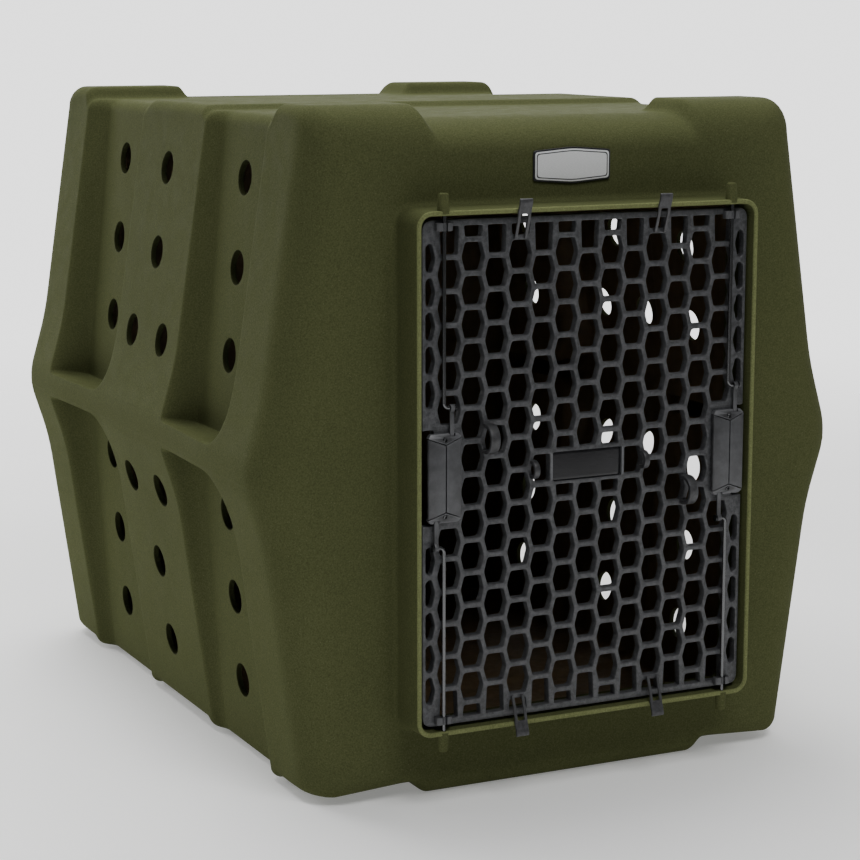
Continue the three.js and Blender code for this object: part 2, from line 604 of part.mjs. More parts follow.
function screw(x, up) {
  const z = DOOR_MIDDLE + up * SCREW_RISE;
  const shank = solid(cylinderY(x, -48.2, DOOR_FRONT - GAP, z, SCREW_RADIUS, 10));
  const socket = solid(cylinderY(x, -49, -46.6, z, 1.3, 6));
  return geometryOf(shank.subtract(socket));
}

function retainingRing(x, up) {
  const end = x + up * LEG_REACH;
  const rises = [end - up * 1.2, end - up * 0.2].sort((a, b) => a - b);
  const z = DOOR_MIDDLE + up * ROD_LEG;
  const ring = solid(cylinderX(rises[0], rises[1], ROD_DEPTH, z, 3.6, 10));
  const bore = solid(cylinderX(rises[0] - 1, rises[1] + 1, ROD_DEPTH, z, ROD_RADIUS + GAP, 10));
  return geometryOf(ring.subtract(bore));
}

// ---- Badge and centre plate ----
function nameBadge() {
  const outline = [[-44, -15], [0, -18.5], [44, -15], [44, 15], [0, 18.5], [-44, 15]];
  return extrudeY(outline.map(([x, z]) => [x, 638 + z]), -2.6, -GAP);
}

function centrePlate() {
  const back = DOOR_FRONT + PLATE_POCKET - GAP;
  const outline = roundedRectangle(PLATE_HALF_WIDTH, PLATE_HALF_HEIGHT, 2, DOOR_MIDDLE);
  return extrudeY(outline, back - PLATE_THICK, back, 2);
}

// ---- Assembly ----
const carrier = new THREE.Group();

function add(name, geometry, colour, roughness = 0.6, metalness = 0) {
  const material = new THREE.MeshStandardMaterial({ color: colour, roughness, metalness });
  const mesh = new THREE.Mesh(geometry, material);
  mesh.name = name;
  carrier.add(mesh);
}

add('body_shell', shellBody(), COLOURS.body, 0.55);
add('name_badge', nameBadge(), COLOURS.badge, 0.3, 0.8);
add('door_panel', doorPanel(), COLOURS.door);
add('centre_plate', centrePlate(), COLOURS.plate, 0.15);
const LOOP_SHAPE = [LOOP_RADIUS, LOOP_INNER, LOOP_WIDTH, LOOP_REACH];
add('left_leash_loop', halfRing(-LOOP_X, LOOP_RISE, ...LOOP_SHAPE), COLOURS.door);
add('right_leash_loop', halfRing(LOOP_X, -LOOP_RISE, ...LOOP_SHAPE), COLOURS.door);
add('left_plate_lug', halfRing(-LUG_X, 0, LUG_RADIUS, LUG_INNER, LUG_WIDTH, LUG_REACH), COLOURS.door);
add('right_plate_lug', halfRing(LUG_X, 0, LUG_RADIUS, LUG_INNER, LUG_WIDTH, LUG_REACH), COLOURS.door);
const sideName = (right) => (right < 0 ? 'left' : 'right');
const levelName = (up) => (up > 0 ? 'upper' : 'lower');
corners((right, up) => {
  const name = `${sideName(right)}_${levelName(up)}`;
  const x = right * LATCH_X;
  add(`${name}_hook`, stopHook(right * HOOK_X, up), COLOURS.door);
  add(`${name}_rod_guide`, rodGuide(x, up), COLOURS.door);
  add(`${name}_rod`, rod(x, up), COLOURS.steel, 0.3, 0.9);
  add(`${name}_drawbar`, drawbar(x, up), COLOURS.latch);
  add(`${name}_retaining_ring`, retainingRing(x, up), COLOURS.steel, 0.3, 0.9);
  add(`${name}_latch_spring`, spring(x, up), COLOURS.spring, 0.3, 0.9);
  add(`${name}_latch_screw`, screw(x, up), COLOURS.steel, 0.35, 0.9);
});
for (const right of [-1, 1]) {
  const x = right * LATCH_X;
  const name = sideName(right);
  add(`${name}_latch_base`, latchBase(x), COLOURS.latch);
  add(`${name}_latch_outer_grip`, grip(x, right), COLOURS.latch);
  add(`${name}_latch_inner_grip`, grip(x, -right), COLOURS.latch);
}

export default carrier;
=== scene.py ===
"""A rotomoulded pet transport carrier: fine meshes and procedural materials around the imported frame.

Lengths below are millimetres in the carrier's own terms: x across, depth behind the flat front wall, and
z above the floor. at() turns them into the frame's metres.
"""
import math

import bmesh
import bpy
import numpy as np
from mathutils import Euler, Matrix, Vector


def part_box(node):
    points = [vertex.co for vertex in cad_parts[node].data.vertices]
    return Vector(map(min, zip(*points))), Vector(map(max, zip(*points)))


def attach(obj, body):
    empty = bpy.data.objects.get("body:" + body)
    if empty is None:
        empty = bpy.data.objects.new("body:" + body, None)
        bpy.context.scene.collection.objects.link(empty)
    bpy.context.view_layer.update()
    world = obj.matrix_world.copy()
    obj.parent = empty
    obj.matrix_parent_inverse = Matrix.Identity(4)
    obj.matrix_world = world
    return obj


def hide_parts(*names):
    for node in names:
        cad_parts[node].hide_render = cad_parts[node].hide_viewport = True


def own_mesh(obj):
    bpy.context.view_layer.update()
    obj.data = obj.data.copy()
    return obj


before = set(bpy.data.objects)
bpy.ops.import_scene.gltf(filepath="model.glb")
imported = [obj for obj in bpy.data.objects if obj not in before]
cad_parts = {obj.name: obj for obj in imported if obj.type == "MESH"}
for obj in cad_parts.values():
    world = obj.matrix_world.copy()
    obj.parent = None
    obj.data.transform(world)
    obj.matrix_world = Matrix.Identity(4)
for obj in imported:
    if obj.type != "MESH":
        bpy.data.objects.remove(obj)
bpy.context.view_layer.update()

MM = 0.001

# ---- Driving dimensions, in millimetres ----
shell_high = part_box("body_shell")[1]
BODY_HEIGHT = shell_high.z / MM
COLLAR_REACH = 48
DOOR_FRONT, DOOR_THICK = -40, 10
FRONT_WALL_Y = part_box("door_panel")[0].y / MM - DOOR_FRONT
BODY_LENGTH = shell_high.y / MM - FRONT_WALL_Y
WALL = 6
BELT_HEIGHT = 340
BELT_ROUNDING, BELT_SAMPLES = 24, 25
BAND_OUTLINE = ((0, 282.9), (262, 319.1), (338, 342.9), (420, 319), (700, 276.4))
CHANNEL_OUTLINE = ((0, 270.5), (340, 297.5), (700, 257.5))
BAND_EDGE = 116
MID_BAND_HALF = 99
MID_EDGE = BODY_LENGTH / 2 - MID_BAND_HALF
MID_BAND_INSET = 5.5
WALL_RUN, WALL_ROUND, WALL_FILLET = 10, 4.5, 13.5
SHELF_RUN, SHELF_ROUND = 4, 1.6
STEP_RUN, STEP_ROUND = 9, 3.5
RIDGE_HALF = 13.5
CORNER_ROUND = 45
SHELF_LEAN, SHELF_FADE = 0.22, 70
PARTING_HEIGHT, PARTING_RISE, PARTING_WIDTH = 331, 0.4, 1.5
TOP_BASE = 686
MID_RISE = 5.6         # how far the middle band stands off the end bands, at the top and at the bottom
PAD_INNER = 147
PAD_EDGE = 16          # from the channel to where a pad or a foot ends
FOOT_RISE, FOOT_EDGE_DROP, CHANNEL_FOOT_RISE = 13, 4.5, 3.5
FOOT_INNER, FOOT_SLOPE, FOOT_ROUND = 154, 11, 6
FOOT_OUTER, FOOT_EASE = 205, 60
SIDE_ROUND = 48
TOP_SETBACK, TOP_DROP = 69, 34
PAD_SETBACK, PAD_DROP = 54, 48
BOTTOM_ROUND = 18
TOP_EDGE_ROUND, TOP_END_ROUND = 15, 14             # the second is added towards the ends
BOTTOM_EDGE_ROUND, BOTTOM_END_ROUND = 11, 5

VENT_RADIUS, VENT_FLARE = 17.6, 1.0
CHANNEL_VENT_ROWS = (82, 175, 267, 435, 527, 620)
PAIR_ROWS = (267, 435)
CHANNEL_VENT_DEPTH = 215
PAIR_HALF = 49

COLLAR_HALF, COLLAR_LOW, COLLAR_HIGH = 194, 78, 601
LIP_LOOPS = (7, 16)    # the rings of collar_loops that round its lip
COLLAR_THICK, COLLAR_CORNER, COLLAR_FILLET = 6, 16, 6
LIP_THICK, LIP_ROUND, MOUTH_ROUND = 4.8, 1.9, 4

DOOR_MIDDLE = 339.5
DOOR_HALF_WIDTH, DOOR_HALF_HEIGHT, DOOR_CORNER = 185, 252.5, 11
CELL_PITCH_X, CELL_PITCH_Z = 26, 33.2
CELL_COLUMNS, CELL_ROWS = 6, 7
CELL_HALF_WIDTH, CELL_HALF_FLAT, CELL_HALF_HEIGHT = 12.9, 9.0, 14.1
SLIT_X, SLIT_HALF_WIDTH = 176.3, 5.3
RAIL = 6.3
PLATE_HALF_WIDTH, PLATE_HALF_HEIGHT, PLATE_POCKET = 39.5, 14.5, 5
PLATE_FRAME, PLATE_PLAY = 3.6, 0.6
HOOK_X, HOOK_WIDTH, HOOK_SLOT, HOOK_SLOT_ENDS = 79.5, 14, 8.4, (226, 256)
LOOP_X, LOOP_RISE = 114.8, 35.8
LOOP_SHAPE = (15.2, 11.2, 10, 20.6)
LUG_X = 63.5
LUG_SHAPE = (9.5, 5.4, 6, 12)
GUIDE_HALF_WIDTH, GUIDE_RISE, GUIDE_HEIGHT, GUIDE_FRONT = 8.5, 246, 8, -47.4
LATCH_X = 163.8
ROD_RADIUS, ROD_DEPTH = 2, -44
ROD_TIP, ROD_LEG, LEG_REACH, ROD_BEND = 266.5, 69.5, 13, 5
BOSS_RADIUS, BOSS_TIP_RADIUS, BOSS_HEIGHT = 6, 4.6, 17
SOCKET_RADIUS, SOCKET_START, SOCKET_END = 2.7, 244, 271.5
BASE_HALF_WIDTH, BASE_HALF_HEIGHT = 15, 44.5
GRIP_HALF_WIDTH, GRIP_SLOT = 18.3, 0.6
BAR_OFFSET, BAR_WIDTH, BAR_THICK, BAR_INNER, BAR_NECK = 8.5, 4.5, 2.2, 13, 4.4
SPRING_RADIUS, SPRING_WIRE, SPRING_LENGTH, SPRING_TURNS = 1.9, 0.42, 28, 9
SCREW_RISE, SCREW_RADIUS, SCREW_CLEARANCE = 38.3, 2.4, 0.35
TROUGH_HALF, TROUGH_FRONT, TROUGH_SINK = 3.1, -46.4, 1.4
GAP = 0.3
BADGE_HEIGHT = 638

FLOOR_REACH, FADE_START, FADE_END = 7, 0.75, 3.2    # metres from the carrier's middle
VIEW_POINT, VIEW_LENS = (-1150, -2043, 783), 97.2
VIEW_TILT, VIEW_TURN = 10.06, 25.91

SIDES = ((-1, "left"), (1, "right"))
LEVELS = ((1, "upper"), (-1, "lower"))


def at(x, depth, z):
    """A point of the carrier, in the frame's metres."""
    return Vector((x * MM, (FRONT_WALL_Y + depth) * MM, z * MM))


# ---- Materials ----
def new_material(name, colour, roughness, metallic=0.0):
    """A material with its Principled shader; its steady values sit on the shader's own sockets."""
    material = bpy.data.materials.new(name)
    material.use_nodes = True
    shader = material.node_tree.nodes["Principled BSDF"]
    shader.inputs["Base Color"].default_value = (*colour, 1)
    shader.inputs["Roughness"].default_value = roughness
    shader.inputs["Metallic"].default_value = metallic
    return material, material.node_tree, shader


def noise(tree, scale, detail=3.0, roughness=0.5, stretch=None):
    """Noise over the object's own space, in metres."""
    nodes, links = tree.nodes, tree.links
    coordinates = nodes.new("ShaderNodeTexCoord")
    texture = nodes.new("ShaderNodeTexNoise")
    texture.inputs["Scale"].default_value = scale
    texture.inputs["Detail"].default_value = detail
    texture.inputs["Roughness"].default_value = roughness
    source = coordinates.outputs["Object"]
    if stretch:
        mapping = nodes.new("ShaderNodeMapping")
        mapping.inputs["Scale"].default_value = stretch
        links.new(source, mapping.inputs["Vector"])
        source = mapping.outputs["Vector"]
    links.new(source, texture.inputs["Vector"])
    return texture.outputs["Fac"]


def ramp(tree, value, stops):
    """A colour ramp over a value; stops are (position, colour)."""
    node = tree.nodes.new("ShaderNodeValToRGB")
    elements = node.color_ramp.elements
    while len(elements) < len(stops):
        elements.new(0.5)
    for element, (position, colour) in zip(elements, stops):
        element.position = position
        element.color = (*colour, 1) if hasattr(colour, "__len__") else (colour, colour, colour, 1)
    tree.links.new(value, node.inputs["Fac"])
    return node.outputs["Color"]


def blend_colours(tree, kind, factor, a, b):
    """A mix of two colours; the factor is a number or a socket."""
    node = tree.nodes.new("ShaderNodeMix")
    node.data_type = "RGBA"
    node.blend_type = kind
    if isinstance(factor, float):
        node.inputs["Factor"].default_value = factor
    else:
        tree.links.new(factor, node.inputs["Factor"])
    for socket, value in ((node.inputs["A"], a), (node.inputs["B"], b)):
        if isinstance(value, tuple):
            socket.default_value = (*value, 1)
        else:
            tree.links.new(value, socket)
    return node.outputs["Result"]


def add_bumps(tree, shader, layers):
    """Chains bump layers, each (height socket, strength, distance in metres)."""
    normal = None
    for height, strength, distance in layers:
        bump = tree.nodes.new("ShaderNodeBump")
        bump.inputs["Strength"].default_value = strength
        bump.inputs["Distance"].default_value = distance
        tree.links.new(height, bump.inputs["Height"])
        if normal is not None:
            tree.links.new(normal, bump.inputs["Normal"])
        normal = bump.outputs["Normal"]
    tree.links.new(normal, shader.inputs["Normal"])


def edge_wear_and_highlight(tree):
    """A mask of convex edges, which are lightened both for handling wear and for a painted highlight along
    them.
    """
    geometry = tree.nodes.new("ShaderNodeNewGeometry")
    return ramp(tree, geometry.outputs["Pointiness"], ((0.52, 0.0), (0.60, 1.0)))


def body_material(name, lift=1.0):
    """Olive rotomoulded polyethylene: cloudy colour, fine speckle, dull orange peel; lift scales its
    brightness, above 1 for a painted highlight and below 1 for painted shade.
    """
    material, tree, shader = new_material(name, (0.075, 0.084, 0.038), 0.5)
    cloud = ramp(tree, noise(tree, 7, 4), ((0.3, (0.072, 0.080, 0.036)), (0.7, (0.080, 0.088, 0.040))))
    grain = ramp(tree, noise(tree, 620, 2, 0.6), ((0.32, (0.72, 0.72, 0.66)), (0.68, (1.22, 1.22, 1.14))))
    colour = blend_colours(tree, "MULTIPLY", 0.75, cloud, grain)
    flecks = ramp(tree, noise(tree, 900, 1, 0.4), ((0.70, 0.0), (0.78, 1.0)))
    colour = blend_colours(tree, "MIX", flecks, colour, (0.13, 0.14, 0.07))
    colour = blend_colours(tree, "MULTIPLY", 1.0, colour, (lift, lift, lift))
    tree.links.new(colour, shader.inputs["Base Color"])
    shader.inputs["Specular IOR Level"].default_value = 0.002
    gloss = ramp(tree, noise(tree, 60, 3), ((0.3, 0.44), (0.7, 0.58)))
    tree.links.new(gloss, shader.inputs["Roughness"])
    add_bumps(tree, shader, (
        (noise(tree, 420, 3, 0.6), 0.34, 0.0006),
        (noise(tree, 26, 2), 0.05, 0.003),
    ))
    return material


def moulded_black(name, dark, light, roughness, grain_scale, edge_lift=2.4):
    """Black glass-filled nylon: greyish mottling, a fine moulded grain, and convex edges lightened for wear
    and a painted highlight.
    """
    material, tree, shader = new_material(name, dark, roughness)
    mottle = ramp(tree, noise(tree, grain_scale, 4, 0.65), ((0.36, dark), (0.68, light)))
    # Convex edges lighten towards a brighter copy of the colour: wear, and a painted highlight on the bevels.
    worn_and_lit_edge_colour = tuple(min(1, edge_lift * c) for c in light)
    worn_and_lit = blend_colours(tree, "MIX", edge_wear_and_highlight(tree), mottle, worn_and_lit_edge_colour)
    tree.links.new(worn_and_lit, shader.inputs["Base Color"])
    gloss = ramp(tree, noise(tree, 130, 3), ((0.3, roughness - 0.08), (0.7, roughness + 0.12)))
    tree.links.new(gloss, shader.inputs["Roughness"])
    add_bumps(tree, shader, (
        (noise(tree, grain_scale * 1.7, 3, 0.6), 0.35, 0.0005),
        (noise(tree, 45, 2), 0.15, 0.002),
    ))
    return material


def gloss_black_material():
    """Polished black plate with faint haze and hairline scuffs."""
    material, tree, shader = new_material("gloss_black", (0.006, 0.006, 0.007), 0.12)
    haze = ramp(tree, noise(tree, 30, 4), ((0.35, (0.004, 0.004, 0.005)), (0.75, (0.014, 0.014, 0.016))))
    tree.links.new(haze, shader.inputs["Base Color"])
    scuffs = ramp(tree, noise(tree, 90, 5, 0.7, (1, 1, 14)), ((0.45, 0.08), (0.75, 0.26)))
    tree.links.new(scuffs, shader.inputs["Roughness"])
    add_bumps(tree, shader, ((noise(tree, 240, 2), 0.05, 0.0004),))
    return material


def steel_material(name, colour, roughness, stretch, metallic=1.0):
    """Drawn or brushed metal: the grain runs along one axis."""
    material, tree, shader = new_material(name, colour, roughness, metallic)
    tone = ramp(tree, noise(tree, 400, 3, 0.6, stretch),
                ((0.3, tuple(0.78 * c for c in colour)), (0.7, tuple(min(1, 1.15 * c) for c in colour))))
    tree.links.new(tone, shader.inputs["Base Color"])
    gloss = ramp(tree, noise(tree, 500, 3, 0.6, stretch), ((0.3, roughness - 0.08), (0.7, roughness + 0.1)))
    tree.links.new(gloss, shader.inputs["Roughness"])
    add_bumps(tree, shader, ((noise(tree, 700, 2, 0.5, stretch), 0.12, 0.0003),))
    return material


MATERIALS = {
    "body": body_material("olive_polyethylene"),
    "door": moulded_black("black_nylon", (0.026, 0.027, 0.029), (0.086, 0.088, 0.093), 0.44, 260),
    "latch": moulded_black("latch_nylon", (0.014, 0.014, 0.015), (0.050, 0.051, 0.054), 0.40, 90, 3.0),
    "plate": gloss_black_material(),
    "badge": steel_material("brushed_badge", (0.86, 0.87, 0.88), 0.36, (1, 40, 40), 0.2),
    "steel": steel_material("drawn_steel", (0.13, 0.132, 0.135), 0.18, (40, 40, 1)),
    "spring": steel_material("spring_wire", (0.46, 0.46, 0.47), 0.30, (30, 30, 4)),
}
FITTING_MATERIAL = moulded_black(
    "fitting_nylon", (0.016, 0.016, 0.017), (0.054, 0.055, 0.058), 0.42, 200, 1.3)
# A lightened copy of the body's olive for the rounding of the collar's lip: a painted highlight.
LIP_HIGHLIGHT_MATERIAL = body_material("lip_painted_highlight", 2.1)
VENT_MATERIAL = body_material("shaded_vent", 0.3)
INSIDE_MATERIAL = moulded_black(
    "shaded_inside", (0.125, 0.082, 0.036), (0.165, 0.110, 0.050), 0.6, 60, 1.0)
BORDER_MATERIAL = moulded_black("border_black", (0.008, 0.008, 0.009), (0.020, 0.020, 0.022), 0.35, 400)


# ---- Mesh helpers ----
def smooth(obj, degrees=35):
    """Smooth shading, with creases sharper than the angle kept."""
    obj.data.shade_smooth()
    obj.data.set_sharp_from_angle(angle=math.radians(degrees))


def new_object(name, data):
    """An object in the scene, from a mesh, a curve, a lamp or a camera."""
    obj = bpy.data.objects.new(name, data)
    bpy.context.scene.collection.objects.link(obj)
    return obj


def mesh_object(name, points, faces):
    """An object from points in millimetres (x, depth, z)."""
    mesh = bpy.data.meshes.new(name)
    scaled = np.asarray(points, float) + (0, FRONT_WALL_Y, 0)
    mesh.from_pydata((scaled * MM).tolist(), [], faces)
    mesh.update()
    return new_object(name, mesh)


def settle(obj):
    """Applies an object's modifiers, or turns a curve into a mesh, and returns a plain mesh object."""
    evaluated = obj.evaluated_get(bpy.context.evaluated_depsgraph_get())
    mesh = bpy.data.meshes.new_from_object(evaluated)
    if obj.type != "MESH":
        name, world = obj.name, obj.matrix_world.copy()
        bpy.data.objects.remove(obj)
        obj = new_object(name, mesh)
        obj.matrix_world = world
        return obj
    obj.modifiers.clear()
    obj.data = mesh
    return obj


def cut(obj, cutter, operation="DIFFERENCE"):
    """A boolean with one other mesh, which is then thrown away."""
    modifier = obj.modifiers.new("cut", "BOOLEAN")
    modifier.solver = "MANIFOLD"
    modifier.operation = operation
    modifier.object = cutter
    result = settle(obj)
    bpy.data.objects.remove(cutter)
    return result


def bevelled(obj, width, segments, angle):
    """Rounds the edges of an object that turn by more than an angle, by a width in millimetres."""
    modifier = obj.modifiers.new("bevel", "BEVEL")
    modifier.width = width * MM
    modifier.segments = segments
    modifier.limit_method = "ANGLE"
    modifier.angle_limit = math.radians(angle)
    return settle(obj)


def loft_faces(rows, count):
    """Quads through rows of count points, and fans over both ends to the two centre points after them."""
    faces = []
    for row in range(rows - 1):
        for i in range(count):
            a, b = row * count + i, row * count + (i + 1) % count
            faces.append((a, b, b + count, a + count))
    first, last = rows * count, rows * count + 1
    end = (rows - 1) * count
    for i in range(count):
        j = (i + 1) % count
        faces.append((j, i, first))
        faces.append((end + i, end + j, last))
    return faces


def loft(name, loops):
    """A closed body through loops with equally many points."""
    loops = [np.asarray(loop, float) for loop in loops]
    points = np.concatenate(loops + [loops[0].mean(0)[None], loops[-1].mean(0)[None]])
    return mesh_object(name, points, loft_faces(len(loops), len(loops[0])))


PLANES = {
    "front": Matrix(((1, 0, 0, 0), (0, 0, -1, 0), (0, 1, 0, 0), (0, 0, 0, 1))),
    "side": Matrix(((0, 0, 1, 0), (1, 0, 0, 0), (0, 1, 0, 0), (0, 0, 0, 1))),
    "floor": Matrix.Identity(4),
}


def flat_piece(name, outlines, plane, middle, thickness, bevel=0.6, segments=2):
    """A plate cut to outlines (the first is its rim, the others its holes), with rounded edges.

    Outlines are points in millimetres: (x, z) on the front plane, (depth, z) on the side plane and
    (x, depth) on the floor plane. middle is where the plate's mid-plane sits along the third axis.
    """
    curve = bpy.data.curves.new(name, "CURVE")
    curve.dimensions = "2D"
    curve.fill_mode = "BOTH"
    curve.extrude = (thickness / 2 - bevel) * MM
    curve.bevel_depth = bevel * MM
    curve.bevel_resolution = segments
    curve.offset = -bevel * MM
    shift = {"front": (0, 0), "side": (FRONT_WALL_Y, 0), "floor": (0, FRONT_WALL_Y)}[plane]
    for outline in outlines:
        spline = curve.splines.new("POLY")
        spline.points.add(len(outline) - 1)
        for point, (u, v) in zip(spline.points, outline):
            point.co = ((u + shift[0]) * MM, (v + shift[1]) * MM, 0, 1)
        spline.use_cyclic_u = True
    obj = new_object(name, curve)
    offset = {"front": (0, FRONT_WALL_Y + middle, 0), "side": (middle, 0, 0), "floor": (0, 0, middle)}[plane]
    bpy.context.view_layer.update()
    obj = settle(obj)
    obj.data.transform(Matrix.Translation(Vector(offset) * MM) @ PLANES[plane])
    obj.matrix_world = Matrix.Identity(4)
    weld(obj)
    return obj


def weld(obj):
    """Merges doubled vertices and faces all faces outwards."""
    work = bmesh.new()
    work.from_mesh(obj.data)
    bmesh.ops.remove_doubles(work, verts=work.verts, dist=0.02 * MM)
    bmesh.ops.recalc_face_normals(work, faces=work.faces)
    work.to_mesh(obj.data)
    work.free()


def rectangle(middle, half, low, high):
    """The corners of an upright rectangle, round from its lower left."""
    return [(middle - half, low), (middle + half, low), (middle + half, high), (middle - half, high)]


def arc(centre_u, centre_v, radius, start, end, steps):
    """Points of an arc, by angles in degrees."""
    angles = [math.radians(start + (end - start) * i / steps) for i in range(steps + 1)]
    return [(centre_u + radius * math.cos(a), centre_v + radius * math.sin(a)) for a in angles]


def round_corners(points, radius, steps=4):
    """A closed outline with each corner rounded; radius is one number or one for each corner."""
    rounded = []
    count = len(points)
    for i, corner in enumerate(points):
        reach = radius[i] if hasattr(radius, "__len__") else radius
        before, here, after = (Vector(p) for p in (points[i - 1], corner, points[(i + 1) % count]))
        to_before, to_after = before - here, after - here
        reach = min(reach, 0.45 * to_before.length, 0.45 * to_after.length)
        start, end = here + to_before.normalized() * reach, here + to_after.normalized() * reach
        for k in range(steps + 1):
            t = k / steps
            rounded.append(tuple((1 - t) ** 2 * start + 2 * t * (1 - t) * here + t * t * end))
    return rounded


def tube(name, points, radius, resolution):
    """A round wire or rod through points (x, depth, z)."""
    curve = bpy.data.curves.new(name, "CURVE")
    curve.dimensions = "3D"
    curve.bevel_depth = radius * MM
    curve.bevel_resolution = resolution
    curve.use_fill_caps = True
    spline = curve.splines.new("POLY")
    spline.points.add(len(points) - 1)
    for point, place in zip(spline.points, points):
        point.co = (*at(*place), 1)
    obj = new_object(name, curve)
    bpy.context.view_layer.update()
    return settle(obj)


def turned(name, profile, base, axis="z", steps=32):
    """A turned solid: profile is (radius, along) pairs from end to end, base its zero point."""
    points = []
    for radius, along in profile:
        for i in range(steps):
            a = 2 * math.pi * i / steps
            u, v = radius * math.cos(a), radius * math.sin(a)
            points.append({"z": (u, v, along), "x": (along, u, v), "y": (v, along, u)}[axis])
    points = np.array(points) + base
    ends = [points[:steps].mean(0), points[-steps:].mean(0)]
    obj = mesh_object(name, np.concatenate([points, ends]), loft_faces(len(profile), steps))
    weld(obj)
    return obj


def join(name, objects):
    """Several meshes as one object."""
    work = bmesh.new()
    for obj in objects:
        work.from_mesh(obj.data)
        bpy.data.objects.remove(obj)
    mesh = bpy.data.meshes.new(name)
    work.to_mesh(mesh)
    work.free()
    return new_object(name, mesh)


def place(obj, body, slot, *nodes, material=None, sharp=35):
    """Gives a finished piece its shading, its material (the slot's, unless one is given) and its body, and
    hides the CAD nodes it stands for.
    """
    smooth(obj, sharp)
    if not any(obj.data.materials):
        obj.data.materials.clear()
        obj.data.materials.append(material or MATERIALS[slot])
    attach(obj, body)
    if nodes:
        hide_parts(*nodes)
    return obj


# ---- The body's surfaces ----
def soft_ramp(t, rounding):
    """0 below t = 0 and t above it, with the corner rounded."""
    return np.where(t < -rounding, 0, np.where(t < rounding, (t + rounding) ** 2 / (4 * rounding), t))


def soft_step(t, run=STEP_RUN, rounding=STEP_ROUND, fillet=None):
    """0 to 1: leaves 0 at t = 0 with one rounding, and meets 1 with another."""
    u = np.asarray(t, float) - rounding
    return (soft_ramp(u, rounding) - soft_ramp(u - run, fillet or rounding)) / run


def outline_width(outline, height):
    """The outline's half-width at each height, with its corners rounded by averaging."""
    heights, widths = zip(*outline)
    slope_low = (widths[1] - widths[0]) / (heights[1] - heights[0])
    slope_high = (widths[-1] - widths[-2]) / (heights[-1] - heights[-2])
    beyond = 200
    heights = (heights[0] - beyond, *heights[1:-1], heights[-1] + beyond)
    widths = (widths[0] - beyond * slope_low, *widths[1:-1], widths[-1] + beyond * slope_high)
    spread = BELT_ROUNDING * (2 * (np.arange(BELT_SAMPLES) + 0.5) / BELT_SAMPLES - 1)
    return np.interp(np.asarray(height)[..., None] + spread, heights, widths).mean(-1)


def nearest_end(depth):
    return min(depth, BODY_LENGTH - depth)


def round_in(distance, radius):
    """How far a rounded edge has drawn in at a distance from where it ends."""
    left = np.maximum(0, radius - np.maximum(distance, 0))
    return radius - np.sqrt(np.maximum(0, radius * radius - left * left))


def channel_mask(depth, z, inset):
    """1 in the channels, 0 on the bands; near the ridge a channel's door-side edge sweeps to the rear."""
    middle = BODY_LENGTH / 2
    near = BAND_EDGE if depth < middle else middle + MID_BAND_HALF
    far = middle - MID_BAND_HALF if depth < middle else BODY_LENGTH - BAND_EDGE
    sweep = round_in(np.abs(z - BELT_HEIGHT) - RIDGE_HALF, CORNER_ROUND)
    return (soft_step(depth - near - sweep + inset, WALL_RUN, WALL_ROUND, WALL_FILLET)
            * soft_step(far + inset - depth, WALL_RUN, WALL_ROUND, WALL_FILLET))


def ridge_mask(z, inset):
    return soft_step(np.abs(z - BELT_HEIGHT) - RIDGE_HALF + inset, SHELF_RUN, SHELF_ROUND)


def ease(t):
    u = np.clip(t, 0, 1)
    return u * u * (3 - 2 * u)


def half_width(depth, z, inset):
    middle = ease((nearest_end(depth) - BAND_EDGE) / (MID_EDGE - BAND_EDGE))
    band = outline_width(BAND_OUTLINE, z) - MID_BAND_INSET * middle
    channel = outline_width(CHANNEL_OUTLINE, z)
    mask = channel_mask(depth, z, inset) * ridge_mask(z, inset)
    parting = PARTING_RISE * np.exp(-((z - PARTING_HEIGHT) / PARTING_WIDTH) ** 2) if inset == 0 else 0
    width = band + (channel - band) * mask + parting
    return width - inset - round_in(nearest_end(depth) - inset, SIDE_ROUND - inset)


def band_end_mask(depth, inset):
    return 1 - soft_step(nearest_end(depth) - BAND_EDGE + PAD_EDGE + inset)


def top_level(depth, x, inset):
    d = nearest_end(depth) - inset
    pad = soft_step(np.abs(x) - PAD_INNER - inset + 3) * band_end_mask(depth, inset)
    mid = soft_step(nearest_end(depth) - MID_EDGE - inset)
    base = TOP_BASE + MID_RISE * mid - TOP_DROP * round_in(d, TOP_SETBACK - inset) / (TOP_SETBACK - inset)
    raised = BODY_HEIGHT - PAD_DROP * round_in(d, PAD_SETBACK - inset) / (PAD_SETBACK - inset)
    return base + (raised - base) * pad - inset


def bottom_level(depth, x, inset):
    on_band = band_end_mask(depth, -inset)
    outer = ease((np.abs(x) - FOOT_OUTER) / FOOT_EASE)
    step = soft_step(np.abs(x) - FOOT_INNER + inset, FOOT_SLOPE, FOOT_ROUND)
    foot = step * on_band * (FOOT_RISE - FOOT_EDGE_DROP * outer) + CHANNEL_FOOT_RISE * outer * (1 - on_band)
    mid = soft_step(nearest_end(depth) - MID_EDGE + inset)
    rolled = round_in(nearest_end(depth) - inset, BOTTOM_ROUND - inset)
    return foot + MID_RISE * mid + rolled + inset


# How a section's points are spread: up a side from its edge to the belt, and across from the side inwards.
BELT_SHARES = np.concatenate([
    np.linspace(0, 0.79, 22), np.linspace(0.8, 0.925, 18), np.linspace(0.929, 1, 30)])
TOP_STOPS = np.concatenate([np.linspace(186, 138, 22), np.linspace(128, 12, 8)])
COLLAR_STOPS = TOP_STOPS * 0.93
ARC_STEPS = 8


def shelf_lean(depth, z, inset):
    """How far the upper shelf and the foot of the channel above it lean down towards the inside."""
    fade = np.clip(1 - (z - BELT_HEIGHT - RIDGE_HALF) / SHELF_FADE, 0, 1)
    recess = outline_width(BAND_OUTLINE, z) - outline_width(CHANNEL_OUTLINE, z)
    mask = channel_mask(depth, z, inset) * ridge_mask(z, inset)
    return np.where(z > BELT_HEIGHT, SHELF_LEAN * fade ** 2 * recess * mask, 0)


